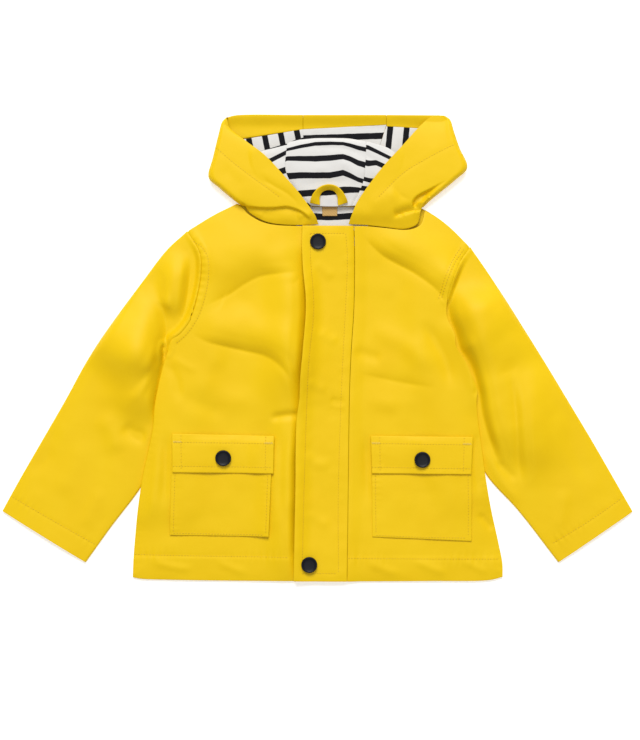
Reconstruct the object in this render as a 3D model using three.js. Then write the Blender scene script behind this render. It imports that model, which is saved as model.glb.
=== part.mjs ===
// A child's hooded raincoat, snapped shut and laid flat on its back, in millimetres.
// +X runs from the right cuff to the left cuff, +Y from the hem to the hood and +Z up from the surface.
// The tables give places on the laying-out table: x to the right and y down, both in millimetres.
import * as THREE from 'three';
import { mergeVertices } from 'three/addons/utils/BufferGeometryUtils.js';

// Driving sizes
const coatCloth = 1.2; // wall of the coated cotton
const doubledCloth = 2.2; // pocket flaps, storm flap and tape, sewn from two layers
const jersey = 1.0; // wall of the striped lining
const seamGap = 0.3; // between neighbouring pieces
const tableX = 317.5; // the part's origin on the laying-out table
const tableY = 348.3;
const clothPuff = 2.2; // how far the upper layer lifts off the lower one, away from its edges
const puffRun = 16; // over which distance from a folded or sewn edge it lifts
const armholeSteps = 8; // mesh steps along each armhole
const snapRadius = 8;

const colours = { coat: '#f4c91f', jersey: '#eae7e2', snap: '#191b21', tab: '#b7914e' };

function material(colour, roughness) {
  return new THREE.MeshStandardMaterial({ color: colour, roughness, metalness: 0, side: THREE.FrontSide });
}

// Edges and plans

// A smooth edge through table points, moved sideways by inset: to the left of its direction on the table
function edge(points, inset = 0) {
  const line = new THREE.CatmullRomCurve3(points.map(([x, y]) => new THREE.Vector3(x, y, 0)), false, 'centripetal');
  return (share) => {
    const place = line.getPointAt(share);
    const along = line.getTangentAt(share);
    return [place.x + inset * along.y, place.y - inset * along.x];
  };
}

// Edges end to end, each over its own number of mesh steps, so that a corner falls on a mesh row
function chain(...parts) {
  const total = parts.reduce((sum, part) => sum + part.steps, 0);
  return (share) => {
    let left = share * total;
    for (const part of parts) {
      if (left <= part.steps + 1e-9 || part === parts.at(-1)) return part.edge(Math.min(1, left / part.steps));
      left -= part.steps;
    }
  };
}

// A panel's plan between four edges: u runs along its top edge and v down its sides
function panel({ top, bottom, left, right }) {
  const corners = [left(0), right(0), left(1), right(1)];
  return (u, v) => [0, 1].map((k) =>
    (1 - v) * top(u)[k] + v * bottom(u)[k] + (1 - u) * left(v)[k] + u * right(v)[k]
    - (1 - v) * ((1 - u) * corners[0][k] + u * corners[1][k])
    - v * ((1 - u) * corners[2][k] + u * corners[3][k]));
}

function mix(a, b, share) {
  return a.map((value, k) => value + (b[k] - value) * share);
}

function gridOf(across, along, point) {
  return Array.from({ length: across + 1 }, (_, i) =>
    Array.from({ length: along + 1 }, (_, j) => point(i / across, j / along, i, j)));
}

// How cloth lies on what is under it

const cell = 3; // size of the squares that a pile is measured in
const pileWide = 230;
const pileLong = 210;

function pileCell(x, y) {
  return Math.floor(y / cell) * pileWide + Math.floor(x / cell);
}

// The highest point in each square of the pieces laid so far. A piece's top is a grid of [x, y, z];
// where it has a limit, only what lies inside that outline counts.
function pileOf(pieces) {
  const tops = new Float32Array(pileWide * pileLong);
  const finer = 5;
  for (const { top, inside } of pieces) {
    for (let i = 0; i + 1 < top.length; i += 1) {
      for (let j = 0; j + 1 < top[i].length; j += 1) {
        for (let k = 0; k <= finer; k += 1) {
          for (let m = 0; m <= finer; m += 1) {
            const near = mix(top[i][j], top[i + 1][j], k / finer);
            const far = mix(top[i][j + 1], top[i + 1][j + 1], k / finer);
            const [x, y, z] = mix(near, far, m / finer);
            if (!inside || inside(x, y)) tops[pileCell(x, y)] = Math.max(tops[pileCell(x, y)], z);
          }
        }
      }
    }
  }
  return (x, y, reach) => {
    let highest = 0;
    for (let dy = -reach; dy <= reach; dy += cell) {
      for (let dx = -reach; dx <= reach; dx += cell) {
        if (dx * dx + dy * dy <= reach * reach) highest = Math.max(highest, tops[pileCell(x + dx, y + dy)]);
      }
    }
    return highest;
  };
}

// Whether a place lies inside an outline of table points
function insideOf(outline) {
  return (x, y) => {
    let inside = false;
    outline.forEach(([ax, ay], k) => {
      const [bx, by] = outline[(k + 1) % outline.length];
      if ((ay > y) !== (by > y) && x < ax + ((y - ay) / (by - ay)) * (bx - ax)) inside = !inside;
    });
    return inside;
  };
}

function outlineOf(plan) {
  const steps = 60;
  const walk = (place) => Array.from({ length: steps }, (_, k) => place(k / steps));
  return [
    ...walk((s) => plan(s, 0)),
    ...walk((s) => plan(1, s)),
    ...walk((s) => plan(1 - s, 1)),
    ...walk((s) => plan(0, 1 - s)),
  ];
}

// The lower face of a cloth laid over pieces: it clears the highest point within reach, and slack smooths it
function drape(plan, across, along, { on = [], reach = 14, slack = 4, lift = () => 0 }) {
  const height = pileOf(on);
  const places = gridOf(across, along, (u, v) => plan(u, v));
  const need = places.map((line) => line.map(([x, y]) => {
    const under = height(x, y, reach);
    return under > 0 ? under + seamGap : 0;
  }));
  let lower = need;
  for (let pass = 0; pass < slack; pass += 1) {
    lower = lower.map((line, i) => line.map((z, j) => {
      const around = [lower[i - 1]?.[j], lower[i + 1]?.[j], line[j - 1], line[j + 1]].filter((n) => n !== undefined);
      return Math.max(need[i][j], around.reduce((sum, n) => sum + n, 0) / around.length);
    }));
  }
  return places.map((line, i) => line.map(([x, y], j) => [x, y, lower[i][j] + Math.max(0, lift(x, y))]));
}

// The height that folds add at a place: each row is a soft ridge, or a trough where its height is below zero
function relief(folds) {
  return (x, y) => folds.reduce((sum, { x1, y1, x2, y2, width, height }) => {
    const long = Math.hypot(x2 - x1, y2 - y1);
    const along = ((x - x1) * (x2 - x1) + (y - y1) * (y2 - y1)) / long;
    const beside = ((x - x1) * (y2 - y1) - (y - y1) * (x2 - x1)) / long;
    const past = Math.max(0, -along, along - long);
    return sum + height * Math.exp(-((beside / width) ** 2) - (past / width) ** 2);
  }, 0);
}

// How far the upper layer has lifted at a place, from its distance to the edges where the layers meet
function puff(edges, full = clothPuff) {
  const marks = edges.flatMap((line) => Array.from({ length: 61 }, (_, k) => line(k / 60)));
  return (x, y) => {
    const near = Math.min(...marks.map(([mx, my]) => Math.hypot(x - mx, y - my)));
    return full * (1 - Math.exp(-near / puffRun));
  };
}

// Solids

// A closed body from two faces, grids of [x, y, z] on the table; a ring also joins its last line to its first
function body(outer, inner, ring = false) {
  const lines = outer.length;
  const rows = outer[0].length;
  const points = [...outer.flat(), ...inner.flat()];
  const at = (face, i, j) => face * lines * rows + (i % lines) * rows + j;
  const triangles = [];
  const quad = (a, b, c, d) => triangles.push(a, b, c, a, c, d);
  for (let i = 0; i < (ring ? lines : lines - 1); i += 1) {
    for (let j = 0; j + 1 < rows; j += 1) {
      quad(at(0, i, j), at(0, i + 1, j), at(0, i + 1, j + 1), at(0, i, j + 1));
      quad(at(1, i, j), at(1, i, j + 1), at(1, i + 1, j + 1), at(1, i + 1, j));
    }
    quad(at(0, i, 0), at(1, i, 0), at(1, i + 1, 0), at(0, i + 1, 0));
    quad(at(0, i, rows - 1), at(0, i + 1, rows - 1), at(1, i + 1, rows - 1), at(1, i, rows - 1));
  }
  if (!ring) {
    for (let j = 0; j + 1 < rows; j += 1) {
      quad(at(0, 0, j), at(0, 0, j + 1), at(1, 0, j + 1), at(1, 0, j));
      quad(at(0, lines - 1, j), at(1, lines - 1, j), at(1, lines - 1, j + 1), at(0, lines - 1, j + 1));
    }
  }
  const placed = points.map(([x, y, z]) => new THREE.Vector3(x - tableX, tableY - y, z));
  let volume = 0;
  for (let k = 0; k < triangles.length; k += 3) {
    const [a, b, c] = triangles.slice(k, k + 3).map((n) => placed[n]);
    volume += a.dot(b.clone().cross(c));
  }
  if (volume < 0) triangles.reverse();
  const geometry = new THREE.BufferGeometry().setFromPoints(placed);
  geometry.setIndex(triangles);
  const merged = mergeVertices(geometry, 1e-3);
  merged.computeVertexNormals();
  return merged;
}

function raised(grid, height) {
  return grid.map((line) => line.map(([x, y, z]) => [x, y, z + height]));
}

function mesh(name, geometry, finish) {
  const made = new THREE.Mesh(geometry, finish);
  made.name = name;
  return made;
}

// A cloth of one thickness on its lower face; it keeps its top for what lies on it
function cloth(name, lower, thickness, finish) {
  const top = raised(lower, thickness);
  return { mesh: mesh(name, body(top, lower), finish), top };
}

const coatFinish = material(colours.coat, 0.45);
const jerseyFinish = material(colours.jersey, 0.9);
const snapFinish = material(colours.snap, 0.35);
const tabFinish = material(colours.tab, 0.85);

// Edges of the body. Right and left are the wearer's.

const neckRight = [[237, 203.5], [243.5, 208.5], [247, 213], [252.5, 217], [262, 222], [275, 225], [302, 226.3], [345, 226.8]];
const neckLeft = [[354.2, 226.5], [364, 226.3], [385, 228.3], [405, 230.2], [414, 228.6], [420.6, 224.8], [423, 219.5], [424.8, 210.5]];
const shoulderRight = [[237, 203.5], [214, 214.5], [187.8, 230.3]];
const shoulderLeft = [[424.8, 210.5], [434, 215], [450, 227], [469.3, 246]];
const armholeRight = [[187, 231], [196, 245], [200.5, 256], [201, 271], [198, 292], [191, 315], [181, 330], [170, 340], [167, 350]];
const armholeLeft = [[470.3, 246.7], [460, 262], [452, 281], [447, 298], [446, 315], [451, 330], [460, 342], [468, 350]];
const sideRight = [[167, 350.6], [161.5, 368], [154, 403], [152, 426], [147, 450], [142, 472], [136, 510], [132, 550], [130.8, 574]];
const sideLeft = [[468, 350.6], [473, 364], [476, 380], [477, 399], [478.6, 420], [486, 472], [491, 500], [500, 540], [504, 560], [504.4, 574]];
// The left front bulges over the armhole seam and its edge folds there
const bulgeLeft = [[447, 298], [447, 316], [454.5, 333], [456, 345], [466, 361], [473, 377], [477.5, 388], [476.8, 400], [478.6, 420]];
const sideLeftBelowBulge = sideLeft.slice(4);
const hem = [[132.5, 577.5], [140, 579], [169, 580], [240, 581], [347, 581.6], [430, 581.2], [490, 580.2], [502.8, 577]];
const flapSeam = [[353.9, 226], [354.6, 258], [353.8, 309], [351.3, 347.5], [349.6, 386], [348.9, 420], [347.9, 505], [346.9, 581.5]];
const flapEdge = [[302.4, 225.8], [302, 243], [303.3, 271], [306, 297], [306, 316], [303.3, 347.5], [300.4, 378], [299.5, 399], [296.6, 420], [295.4, 493], [293.6, 581]];

const shoulderSteps = 3;
const sideSteps = 15;
const bodySteps = shoulderSteps + armholeSteps + sideSteps;
const armholeInset = 0.35;

function rightBodySide() {
  return chain(
    { steps: shoulderSteps, edge: edge(shoulderRight) },
    { steps: armholeSteps, edge: edge(armholeRight, armholeInset) },
    { steps: sideSteps, edge: edge(sideRight) },
  );
}

function leftBodySide() {
  return chain(
    { steps: shoulderSteps, edge: edge(shoulderLeft) },
    { steps: armholeSteps, edge: edge(armholeLeft, -armholeInset) },
    { steps: sideSteps, edge: edge(sideLeft) },
  );
}

// Folds of the upper layer, a row for each: where it runs, its half width and its height
const rightFrontFolds = relief([
  { x1: 204, y1: 304, x2: 262, y2: 272, width: 9, height: -1.8 },
  { x1: 214, y1: 314, x2: 285, y2: 286, width: 12, height: 2.0 },
  { x1: 195, y1: 327, x2: 262, y2: 352, width: 9, height: -1.8 },
  { x1: 268, y1: 356, x2: 292, y2: 392, width: 9, height: -1.6 },
  { x1: 190, y1: 345, x2: 276, y2: 388, width: 14, height: 1.6 },
  { x1: 222, y1: 240, x2: 262, y2: 262, width: 15, height: 1.4 },
  { x1: 166, y1: 440, x2: 158, y2: 500, width: 9, height: -1.4 },
  { x1: 286, y1: 420, x2: 284, y2: 560, width: 9, height: -1.2 },
]);
const leftFrontFolds = relief([
  { x1: 366, y1: 240, x2: 438, y2: 296, width: 9, height: -2.0 },
  { x1: 392, y1: 286, x2: 442, y2: 318, width: 20, height: 1.3 },
  { x1: 452, y1: 332, x2: 472, y2: 386, width: 15, height: 0.6 },
  { x1: 421, y1: 321, x2: 445, y2: 364, width: 9, height: -1.4 },
  { x1: 356, y1: 352, x2: 430, y2: 386, width: 10, height: -1.2 },
  { x1: 402, y1: 238, x2: 446, y2: 262, width: 15, height: 1.4 },
  { x1: 478, y1: 430, x2: 484, y2: 470, width: 8, height: -1.2 },
  { x1: 380, y1: 560, x2: 470, y2: 566, width: 9, height: 1.0 },
]);
const rightSleeveFolds = relief([
  { x1: 188, y1: 264, x2: 184, y2: 316, width: 8, height: -1.6 },
  { x1: 170, y1: 268, x2: 176, y2: 318, width: 9, height: 1.4 },
  { x1: 163, y1: 326, x2: 148, y2: 408, width: 11, height: -1.6 },
  { x1: 136, y1: 330, x2: 122, y2: 400, width: 12, height: 1.2 },
  { x1: 128, y1: 426, x2: 146, y2: 446, width: 9, height: -1.4 },
  { x1: 104, y1: 430, x2: 120, y2: 456, width: 10, height: 1.2 },
]);
const leftSleeveFolds = relief([
  { x1: 464, y1: 300, x2: 470, y2: 336, width: 8, height: -1.4 },
  { x1: 478, y1: 290, x2: 500, y2: 396, width: 11, height: 1.4 },
  { x1: 508, y1: 372, x2: 529, y2: 460, width: 9, height: -1.6 },
  { x1: 526, y1: 380, x2: 546, y2: 460, width: 11, height: 1.2 },
  { x1: 498, y1: 462, x2: 516, y2: 482, width: 8, height: -1.2 },
]);

// Sleeves: a flattened tube each, its lower wall on the surface

const sleeveRings = 17;
const sleeveSides = 12; // mesh steps across each wall
const sleeveCavity = 1.0; // between the walls before they puff
const pressedCavity = 0.9; // where the body lies on the sleeve

const sleeveTables = {
  right_sleeve: {
    outer: [[186.6, 230.9], [166, 250], [143, 280], [114, 320], [87, 360], [65, 400], [42, 440], [19, 480], [2, 511]],
    inner: [[166.6, 350.3], [173, 372], [174, 405], [163, 450], [139, 490], [111, 527], [85.5, 562.5]],
    armhole: armholeRight,
    inset: -armholeInset,
    folds: rightSleeveFolds,
  },
  left_sleeve: {
    outer: [[470.7, 246.5], [487, 270], [500, 290], [519, 320], [544, 360], [568, 400], [592, 440], [615, 480], [633, 511.5]],
    inner: [[468.4, 350.3], [463, 378], [465, 408], [472, 440], [486, 474], [519.5, 512], [558.5, 562.5]],
    armhole: armholeLeft,
    inset: armholeInset,
    folds: leftSleeveFolds,
  },
};

function sleeve(name, { outer, inner, armhole, inset, folds }, bodyOutline) {
  const plan = panel({
    top: edge(armhole, inset),
    bottom: edge([outer.at(-1), inner.at(-1)]),
    left: edge(outer),
    right: edge(inner),
  });
  const lift = puff([edge(outer), edge(inner)]);
  const heightAt = (x, y) => {
    const free = sleeveCavity + Math.max(0, lift(x, y) + folds(x, y));
    return 2 * coatCloth + (bodyOutline(x, y) ? pressedCavity : free);
  };
  const walls = [[], []];
  const roll = (distance, radius) => Math.sqrt(1 - (1 - Math.min(1, distance / radius)) ** 2);
  for (let k = 0; k < 2 * sleeveSides; k += 1) {
    const side = k <= sleeveSides ? 1 : -1; // upper wall first, then back along the lower wall
    const u = (1 - Math.cos((Math.PI * k) / sleeveSides)) / 2;
    const lines = [[], []];
    for (let ring = 0; ring <= sleeveRings; ring += 1) {
      const v = ring / sleeveRings;
      const width = Math.hypot(...mix(plan(0, v), plan(1, v).map((n) => -n), 0.5).map((n) => 2 * n)) || 1;
      const [x, y] = plan(u, v);
      const height = heightAt(x, y);
      const toEdge = width * Math.min(u, 1 - u);
      const half = height / 2;
      lines[0].push([x, y, half + side * half * roll(toEdge, half)]);
      const wallShare = coatCloth / width;
      const innerPlace = plan(wallShare + u * (1 - 2 * wallShare), v);
      const hollow = half - coatCloth;
      lines[1].push([...innerPlace, half + side * hollow * roll(toEdge, hollow)]);
    }
    walls[0].push(lines[0]);
    walls[1].push(lines[1]);
  }
  return {
    mesh: mesh(name, body(walls[0], walls[1], true), coatFinish),
    top: walls[0].slice(0, sleeveSides + 1),
    inside: bodyOutline,
  };
}

// Body

const frontsAcross = 13;

const backPlan = panel({
  top: edge([[237, 203.5], [243.5, 207.4], [280, 207.8], [331, 208], [380, 209], [414, 211.5], [424.8, 210.5]]),
  bottom: edge(hem),
  left: rightBodySide(),
  right: leftBodySide(),
});
const backOutline = insideOf(outlineOf(backPlan));
const sleeves = Object.entries(sleeveTables).map(([name, table]) => sleeve(name, table, backOutline));

const back = cloth('back_panel', drape(backPlan, 20, bodySteps, { on: sleeves, reach: 16, slack: 2 }), coatCloth, coatFinish);

const neckLiningPlan = panel({
  top: edge([[296, 208.6], [331, 208.8], [368, 209.6]]),
  bottom: edge([[296, 246], [368, 246]]),
  left: edge([[296, 208.6], [296, 246]]),
  right: edge([[368, 209.6], [368, 246]]),
});
const neckLining = cloth('back_neck_lining', drape(neckLiningPlan, 8, 4, { on: [back] }), jersey, jerseyFinish);

function front(name, plan, meetingEdges, folds) {
  const lift = puff(meetingEdges);
  const lower = drape(plan, frontsAcross, bodySteps, {
    on: [back, neckLining],
    reach: 17,
    lift: (x, y) => lift(x, y) + folds(x, y),
  });
  return cloth(name, lower, coatCloth, coatFinish);
}

const rightFrontPlan = panel({
  top: edge(neckRight),
  bottom: edge([...hem.slice(0, 4), [345, 581.6]]),
  left: rightBodySide(),
  right: chain(
    { steps: shoulderSteps, edge: edge([[345, 226.8], [345, 252]]) },
    { steps: armholeSteps, edge: edge([[345, 252], [345, 352]]) },
    { steps: sideSteps, edge: edge([[345, 352], [345, 581.6]]) },
  ),
});
const rightFront = front('right_front', rightFrontPlan,
  [edge(shoulderRight), edge(sideRight), edge(hem.slice(0, 5))], rightFrontFolds);

const flapSeamEdge = edge(flapSeam, seamGap);
const leftFrontPlan = panel({
  top: edge(neckLeft),
  bottom: edge([[347.2, 581.6], ...hem.slice(5)]),
  left: chain(
    { steps: shoulderSteps, edge: (share) => flapSeamEdge(share * 0.07) },
    { steps: armholeSteps, edge: (share) => flapSeamEdge(0.07 + share * 0.28) },
    { steps: sideSteps, edge: (share) => flapSeamEdge(0.35 + share * 0.65) },
  ),
  right: chain(
    { steps: shoulderSteps, edge: edge(shoulderLeft) },
    { steps: 4, edge: edge(armholeLeft.slice(0, 4), -armholeInset) },
    { steps: armholeSteps - 4 + 3, edge: edge(bulgeLeft) },
    { steps: sideSteps - 3, edge: edge(sideLeftBelowBulge) },
  ),
});
const leftFront = front('left_front', leftFrontPlan,
  [edge(shoulderLeft), edge(sideLeftBelowBulge), edge([[347, 581.6], ...hem.slice(5)])], leftFrontFolds);

const stormFlapPlan = panel({
  top: edge([flapEdge[0], flapSeam[0]]),
  bottom: edge([flapEdge.at(-1), flapSeam.at(-1)]),
  left: edge(flapEdge),
  right: edge(flapSeam),
});
const stormFlap = cloth('storm_flap', drape(stormFlapPlan, 5, 30, { on: [rightFront], reach: 14 }), doubledCloth, coatFinish);

// Pockets: a bag with a flap over its mouth, both laid on a front

const pocketTables = {
  right_pocket: {
    front: rightFront,
    bag: [[172.4, 446], [272.5, 447], [268.6, 536.4], [170, 534.8]],
    flap: [[172.4, 433.3], [274.2, 435.5], [273.6, 473.3], [173, 472]],
  },
  left_pocket: {
    front: leftFront,
    bag: [[371.5, 446], [471.5, 447], [471.4, 541], [372.2, 536.6]],
    flap: [[370.6, 435.5], [472.4, 436.4], [470.6, 474], [371.8, 473.3]],
  },
};

function straightPanel([topLeft, topRight, bottomRight, bottomLeft]) {
  return (u, v) => mix(mix(topLeft, topRight, u), mix(bottomLeft, bottomRight, u), v);
}

const pockets = Object.entries(pocketTables).map(([name, { front: under, bag, flap }]) => {
  const pocket = cloth(name, drape(straightPanel(bag), 9, 8, { on: [under], reach: 10 }), coatCloth, coatFinish);
  const lower = drape(straightPanel(flap), 9, 4, { on: [under, pocket], reach: 10 });
  return { bag: pocket, flap: cloth(`${name}_flap`, lower, doubledCloth, coatFinish) };
});

// Hood: a centre strip and two sides. Each side lies on the surface, folds over and comes back to the face edge.

// From the rim to the neck: the centre seam c, the outer fold e, the face edge f, and how high the returning
// layer lies at the fold and at the face edge
function hoodRows(columns) {
  return columns.map(([cx, cy, ex, ey, fx, fy, fold, face]) => ({ c: [cx, cy], e: [ex, ey], f: [fx, fy], fold, face }));
}

const hoodTables = {
  hood_right_side: {
    neck: [[242.6, 206.4], [246, 211.5], [252, 215.8], [262, 220.8], [275, 223.8], [302, 225.2], [318.5, 224.6]],
    rows: hoodRows([
      [303.0, 115.4, 222.0, 118.5, 230.0, 119.0, 3.3, 3.3],
      [303.2, 124.0, 219.0, 131.0, 238.0, 133.0, 5.0, 4.5],
      [304.0, 142.0, 212.5, 157.0, 262.0, 155.0, 9.0, 6.0],
      [305.0, 158.0, 208.5, 176.5, 285.0, 177.0, 12.0, 8.0],
      [307.0, 174.0, 219.0, 188.5, 299.0, 192.0, 13.0, 10.0],
      [309.0, 190.0, 231.5, 198.5, 309.5, 206.0, 12.0, 12.0],
      [310.0, 199.0, 238.5, 203.4, 315.0, 216.0, 9.0, 12.0],
      [311.0, 206.8, 242.6, 206.0, 318.5, 224.6, 5.0, 6.0],
    ]),
  },
  hood_left_side: {
    neck: [[423.6, 209.8], [421.8, 219], [419.5, 223.8], [413.5, 227.2], [405, 229], [385, 227], [364, 225], [348.5, 224.6]],
    rows: hoodRows([
      [386.5, 115.4, 449.0, 118.0, 432.0, 117.0, 3.8, 3.3],
      [385.6, 124.0, 453.5, 130.0, 421.0, 126.5, 6.0, 4.5],
      [381.5, 142.0, 459.5, 148.0, 402.0, 147.0, 9.0, 6.0],
      [375.5, 158.0, 466.8, 168.5, 384.0, 166.0, 12.0, 8.0],
      [368.5, 174.0, 456.0, 180.0, 369.0, 184.5, 13.0, 10.0],
      [360.5, 190.0, 441.0, 192.5, 357.5, 202.0, 12.0, 12.0],
      [356.0, 199.0, 430.5, 200.5, 352.0, 214.5, 9.0, 12.0],
      [352.0, 206.8, 423.6, 207.0, 348.5, 224.6, 5.0, 6.0],
    ]),
  },
};

const hoodAlong = 18;
const hoodFloorSteps = 6;
const hoodRollSteps = 4;
const hoodTopSteps = 9;
const neckBlend = 0.62; // share of the hood's length over which the returning layer leaves the neck's contour

// Values of the rows at a share of the way from rim to neck, smoothly
function along(rows, pick) {
  const line = new THREE.CatmullRomCurve3(rows.map((row) => new THREE.Vector3(...pick(row))), false, 'centripetal');
  return (share) => line.getPoint(share).toArray();
}

function seamOf(rows) {
  const place = along(rows, (row) => [...row.c, 0]);
  return (share) => place(share).slice(0, 2);
}

const rightSeam = seamOf(hoodTables.hood_right_side.rows);
const leftSeam = seamOf(hoodTables.hood_left_side.rows);

function shifted(line, dx) {
  return (share) => [line(share)[0] + dx, line(share)[1]];
}

const hoodCentrePlan = panel({
  top: edge([[303.3, 115.4], [345, 115], [386.2, 115.4]]),
  bottom: edge([[311.3, 206.8], [331, 207.3], [351.7, 206.8]]),
  left: shifted(rightSeam, seamGap),
  right: shifted(leftSeam, -seamGap),
});
const hoodCentre = cloth('hood_centre', drape(hoodCentrePlan, 6, hoodAlong, {}), coatCloth, coatFinish);

const facingTables = {
  hood_facing_right: [[235, 117.5], [302.8, 116], [302.8, 128.9], [232, 141]],
  hood_facing_centre: [[303.3, 116], [386.1, 116], [386.1, 124.4], [303.3, 128.8]],
  hood_facing_left: [[386.6, 116], [428, 117], [436, 129.2], [386.6, 126]],
};
const floorLiningTables = {
  hood_lining_right: [[232, 141.4], [302.4, 129.3], [303.6, 160], [232, 168]],
  hood_lining_centre: [[303, 129.2], [386.1, 124.8], [375, 160], [304, 160]],
  hood_lining_left: [[386.6, 126.4], [436, 129.6], [440, 166], [375.4, 160]],
};

// The floor layers of the sides, as laid pieces for the linings to lie on
const floorTop = { top: gridOf(8, 8, (u, v) => [...mix([205, 110], [470, 207], 0).map((_, k) =>
  (k === 0 ? 205 + 265 * u : 110 + 97 * v)), coatCloth]) };

function flatSet(tables, thickness, finish, across, down) {
  return Object.entries(tables).map(([name, corners]) =>
    cloth(name, drape(straightPanel(corners), across, down, { on: [floorTop] }), thickness, finish));
}

const facings = flatSet(facingTables, coatCloth, coatFinish, 6, 2);
const floorLinings = flatSet(floorLiningTables, jersey, jerseyFinish, 6, 3);

// The crown's hidden layers, folded forward inside the hood: one rounded heap under the striped lining
const crownHeap = 4.2;
const crownEdge = 1.4;
const crownPlan = panel({
  top: edge([[256, 161], [276, 152], [300, 145], [340, 144], [372, 147], [397, 160]]),
  bottom: edge([[302, 204.6], [331, 205.2], [362, 204.6]]),
  left: edge([[256, 161], [268, 180], [302, 204.6]]),
  right: edge([[397, 160], [382, 180], [362, 204.6]]),
});
const crownLower = drape(crownPlan, 10, 7, { on: [floorTop, ...floorLinings], reach: 16, slack: 0 });
const crownTop = crownLower.map((line, i) => line.map(([x, y, z], j) => {
  const inward = Math.min(i / 10, 1 - i / 10, j / 7, 0.4 + 0.6 * (1 - j / 7)) * 2.5;
  return [x, y, z + crownEdge + crownHeap * Math.sqrt(Math.min(1, inward))];
}));
const crown = { mesh: mesh('hood_crown', body(crownTop, crownLower), coatFinish), top: crownTop };

const crownLiningTables = {
  crown_lining_right: {
    top: [[252, 158], [262, 152], [277, 147], [286.8, 144.5]],
    bottom: [[300, 206], [304, 206], [310.8, 206]],
    left: [[252, 158], [264, 182], [300, 206]],
    right: [[286.8, 144.5], [285.6, 172], [297, 192], [310.8, 206]],
  },
  crown_lining_centre: {
    top: [[287.2, 144.3], [298, 139.5], [313, 137], [340, 138], [366, 142]],
    bottom: [[311.2, 206.2], [331, 206.8], [351.8, 206.2]],
    left: [[287.2, 144.3], [286, 172], [297.4, 192], [311.2, 206.2]],
    right: [[366, 142], [365.5, 160], [362.5, 184], [351.8, 206.2]],
  },
  crown_lining_left: {
    top: [[366.5, 142], [380, 146], [390, 150], [402, 161]],
    bottom: [[352.2, 206], [358, 206], [366, 206]],
    left: [[366.5, 142], [366, 160], [363, 184], [352.2, 206]],
    right: [[402, 161], [386, 184], [366, 206]],
  },
};
const crownLinings = Object.entries(crownLiningTables).map(([name, table]) => {
  const plan = panel(Object.fromEntries(Object.entries(table).map(([side, points]) => [side, edge(points)])));
  const lower = drape(plan, 7, 8, { on: [floorTop, ...floorLinings, crown], reach: 12, slack: 2 });
  return cloth(name, lower, jersey, jerseyFinish);
});

function hoodSide(name, { rows, neck }, under) {
  const seam = along(rows, (row) => [...row.c, 0]);
  const fold = along(rows, (row) => [...row.e, row.fold]);
  const face = along(rows, (row) => [...row.f, row.face]);
  const neckEdge = edge(neck);
  const height = pileOf(under);
  const outer = [];
  const inner = [];
  for (let row = 0; row <= hoodAlong; row += 1) {
    const share = row / hoodAlong;
    const [cx, cy] = seam(share);
    const [ex, ey, foldHeight] = fold(share);
    const [fx, fy, faceHeight] = face(share);
    const radius = (foldHeight + coatCloth) / 2;
    const inwards = [(cx + fx) / 2 - ex, (cy + fy) / 2 - ey];
    const long = Math.hypot(...inwards);
    const dir = inwards.map((n) => n / long);
    const centre = [ex + dir[0] * radius, ey + dir[1] * radius];
    const outerRow = [];
    const innerRow = [];
    for (let k = 0; k <= hoodFloorSteps; k += 1) {
      const [x, y] = mix([cx, cy], centre, k / hoodFloorSteps);
      outerRow.push([x, y, 0]);
      innerRow.push([x, y, coatCloth]);
    }
    for (let k = 1; k <= hoodRollSteps; k += 1) {
      const angle = Math.PI * (k / hoodRollSteps - 0.5);
      const roll = (r) => [
        centre[0] - dir[0] * r * Math.cos(angle),
        centre[1] - dir[1] * r * Math.cos(angle),
        radius + r * Math.sin(angle),
      ];
      outerRow.push(roll(radius));
      innerRow.push(roll(radius - coatCloth));
    }
    const onNeck = Math.max(0, (share - neckBlend) / (1 - neckBlend)) ** 2;
    for (let k = 1; k <= hoodTopSteps; k += 1) {
      const s = k / hoodTopSteps;
      const straight = mix(centre, [fx, fy], s);
      const offNeck = mix(mix(centre, [fx, fy], s), neckEdge(s), 1).map((n, axis) =>
        n - mix(rows.at(-1).e, rows.at(-1).f, s)[axis]);
      const [x, y] = straight.map((n, axis) => n + onNeck * offNeck[axis]);
      const profile = foldHeight + (faceHeight - foldHeight) * s;
      const z = Math.max(profile, height(x, y, 9) + seamGap);
      outerRow.push([x, y, z + coatCloth]);
      innerRow.push([x, y, z]);
    }
    outer.push(outerRow);
    inner.push(innerRow);
  }
  return { mesh: mesh(name, body(outer, inner), coatFinish), top: outer };
}

const underHood = [back, neckLining, ...facings, ...floorLinings, ...crownLinings];
const hoodSides = Object.entries(hoodTables).map(([name, table]) => hoodSide(name, table, underHood));

// The loop that the coat hangs on, a tape in an arch on the lining, and the small folded tab below it
const loopArch = [[314.8, 204.8], [316.4, 197], [321, 191], [328, 188.6], [335, 190], [340, 195.5], [343, 204.8]];
const loopFootWidth = 9;
const loopTopWidth = 4.4;
const loopLine = edge(loopArch);
function loopPlan(u, v) {
  const [x, y] = loopLine(v);
  const before = loopLine(Math.max(0, v - 0.01));
  const after = loopLine(Math.min(1, v + 0.01));
  const long = Math.hypot(after[0] - before[0], after[1] - before[1]);
  const width = loopTopWidth + (loopFootWidth - loopTopWidth) * (2 * v - 1) ** 4;
  const off = (u - 0.5) * width;
  return [x + (off * (after[1] - before[1])) / long, y - (off * (after[0] - before[0])) / long];
}
const hangerLoop = cloth('hanger_loop', drape(loopPlan, 2, 18, { on: crownLinings, reach: 6 }), doubledCloth, coatFinish);
const tabPlan = straightPanel([[322, 208.9], [337.6, 208.9], [337.2, 216], [322.4, 216]]);
const neckTab = cloth('neck_tab', drape(tabPlan, 3, 2, { on: [neckLining], reach: 6 }), doubledCloth, tabFinish);

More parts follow.
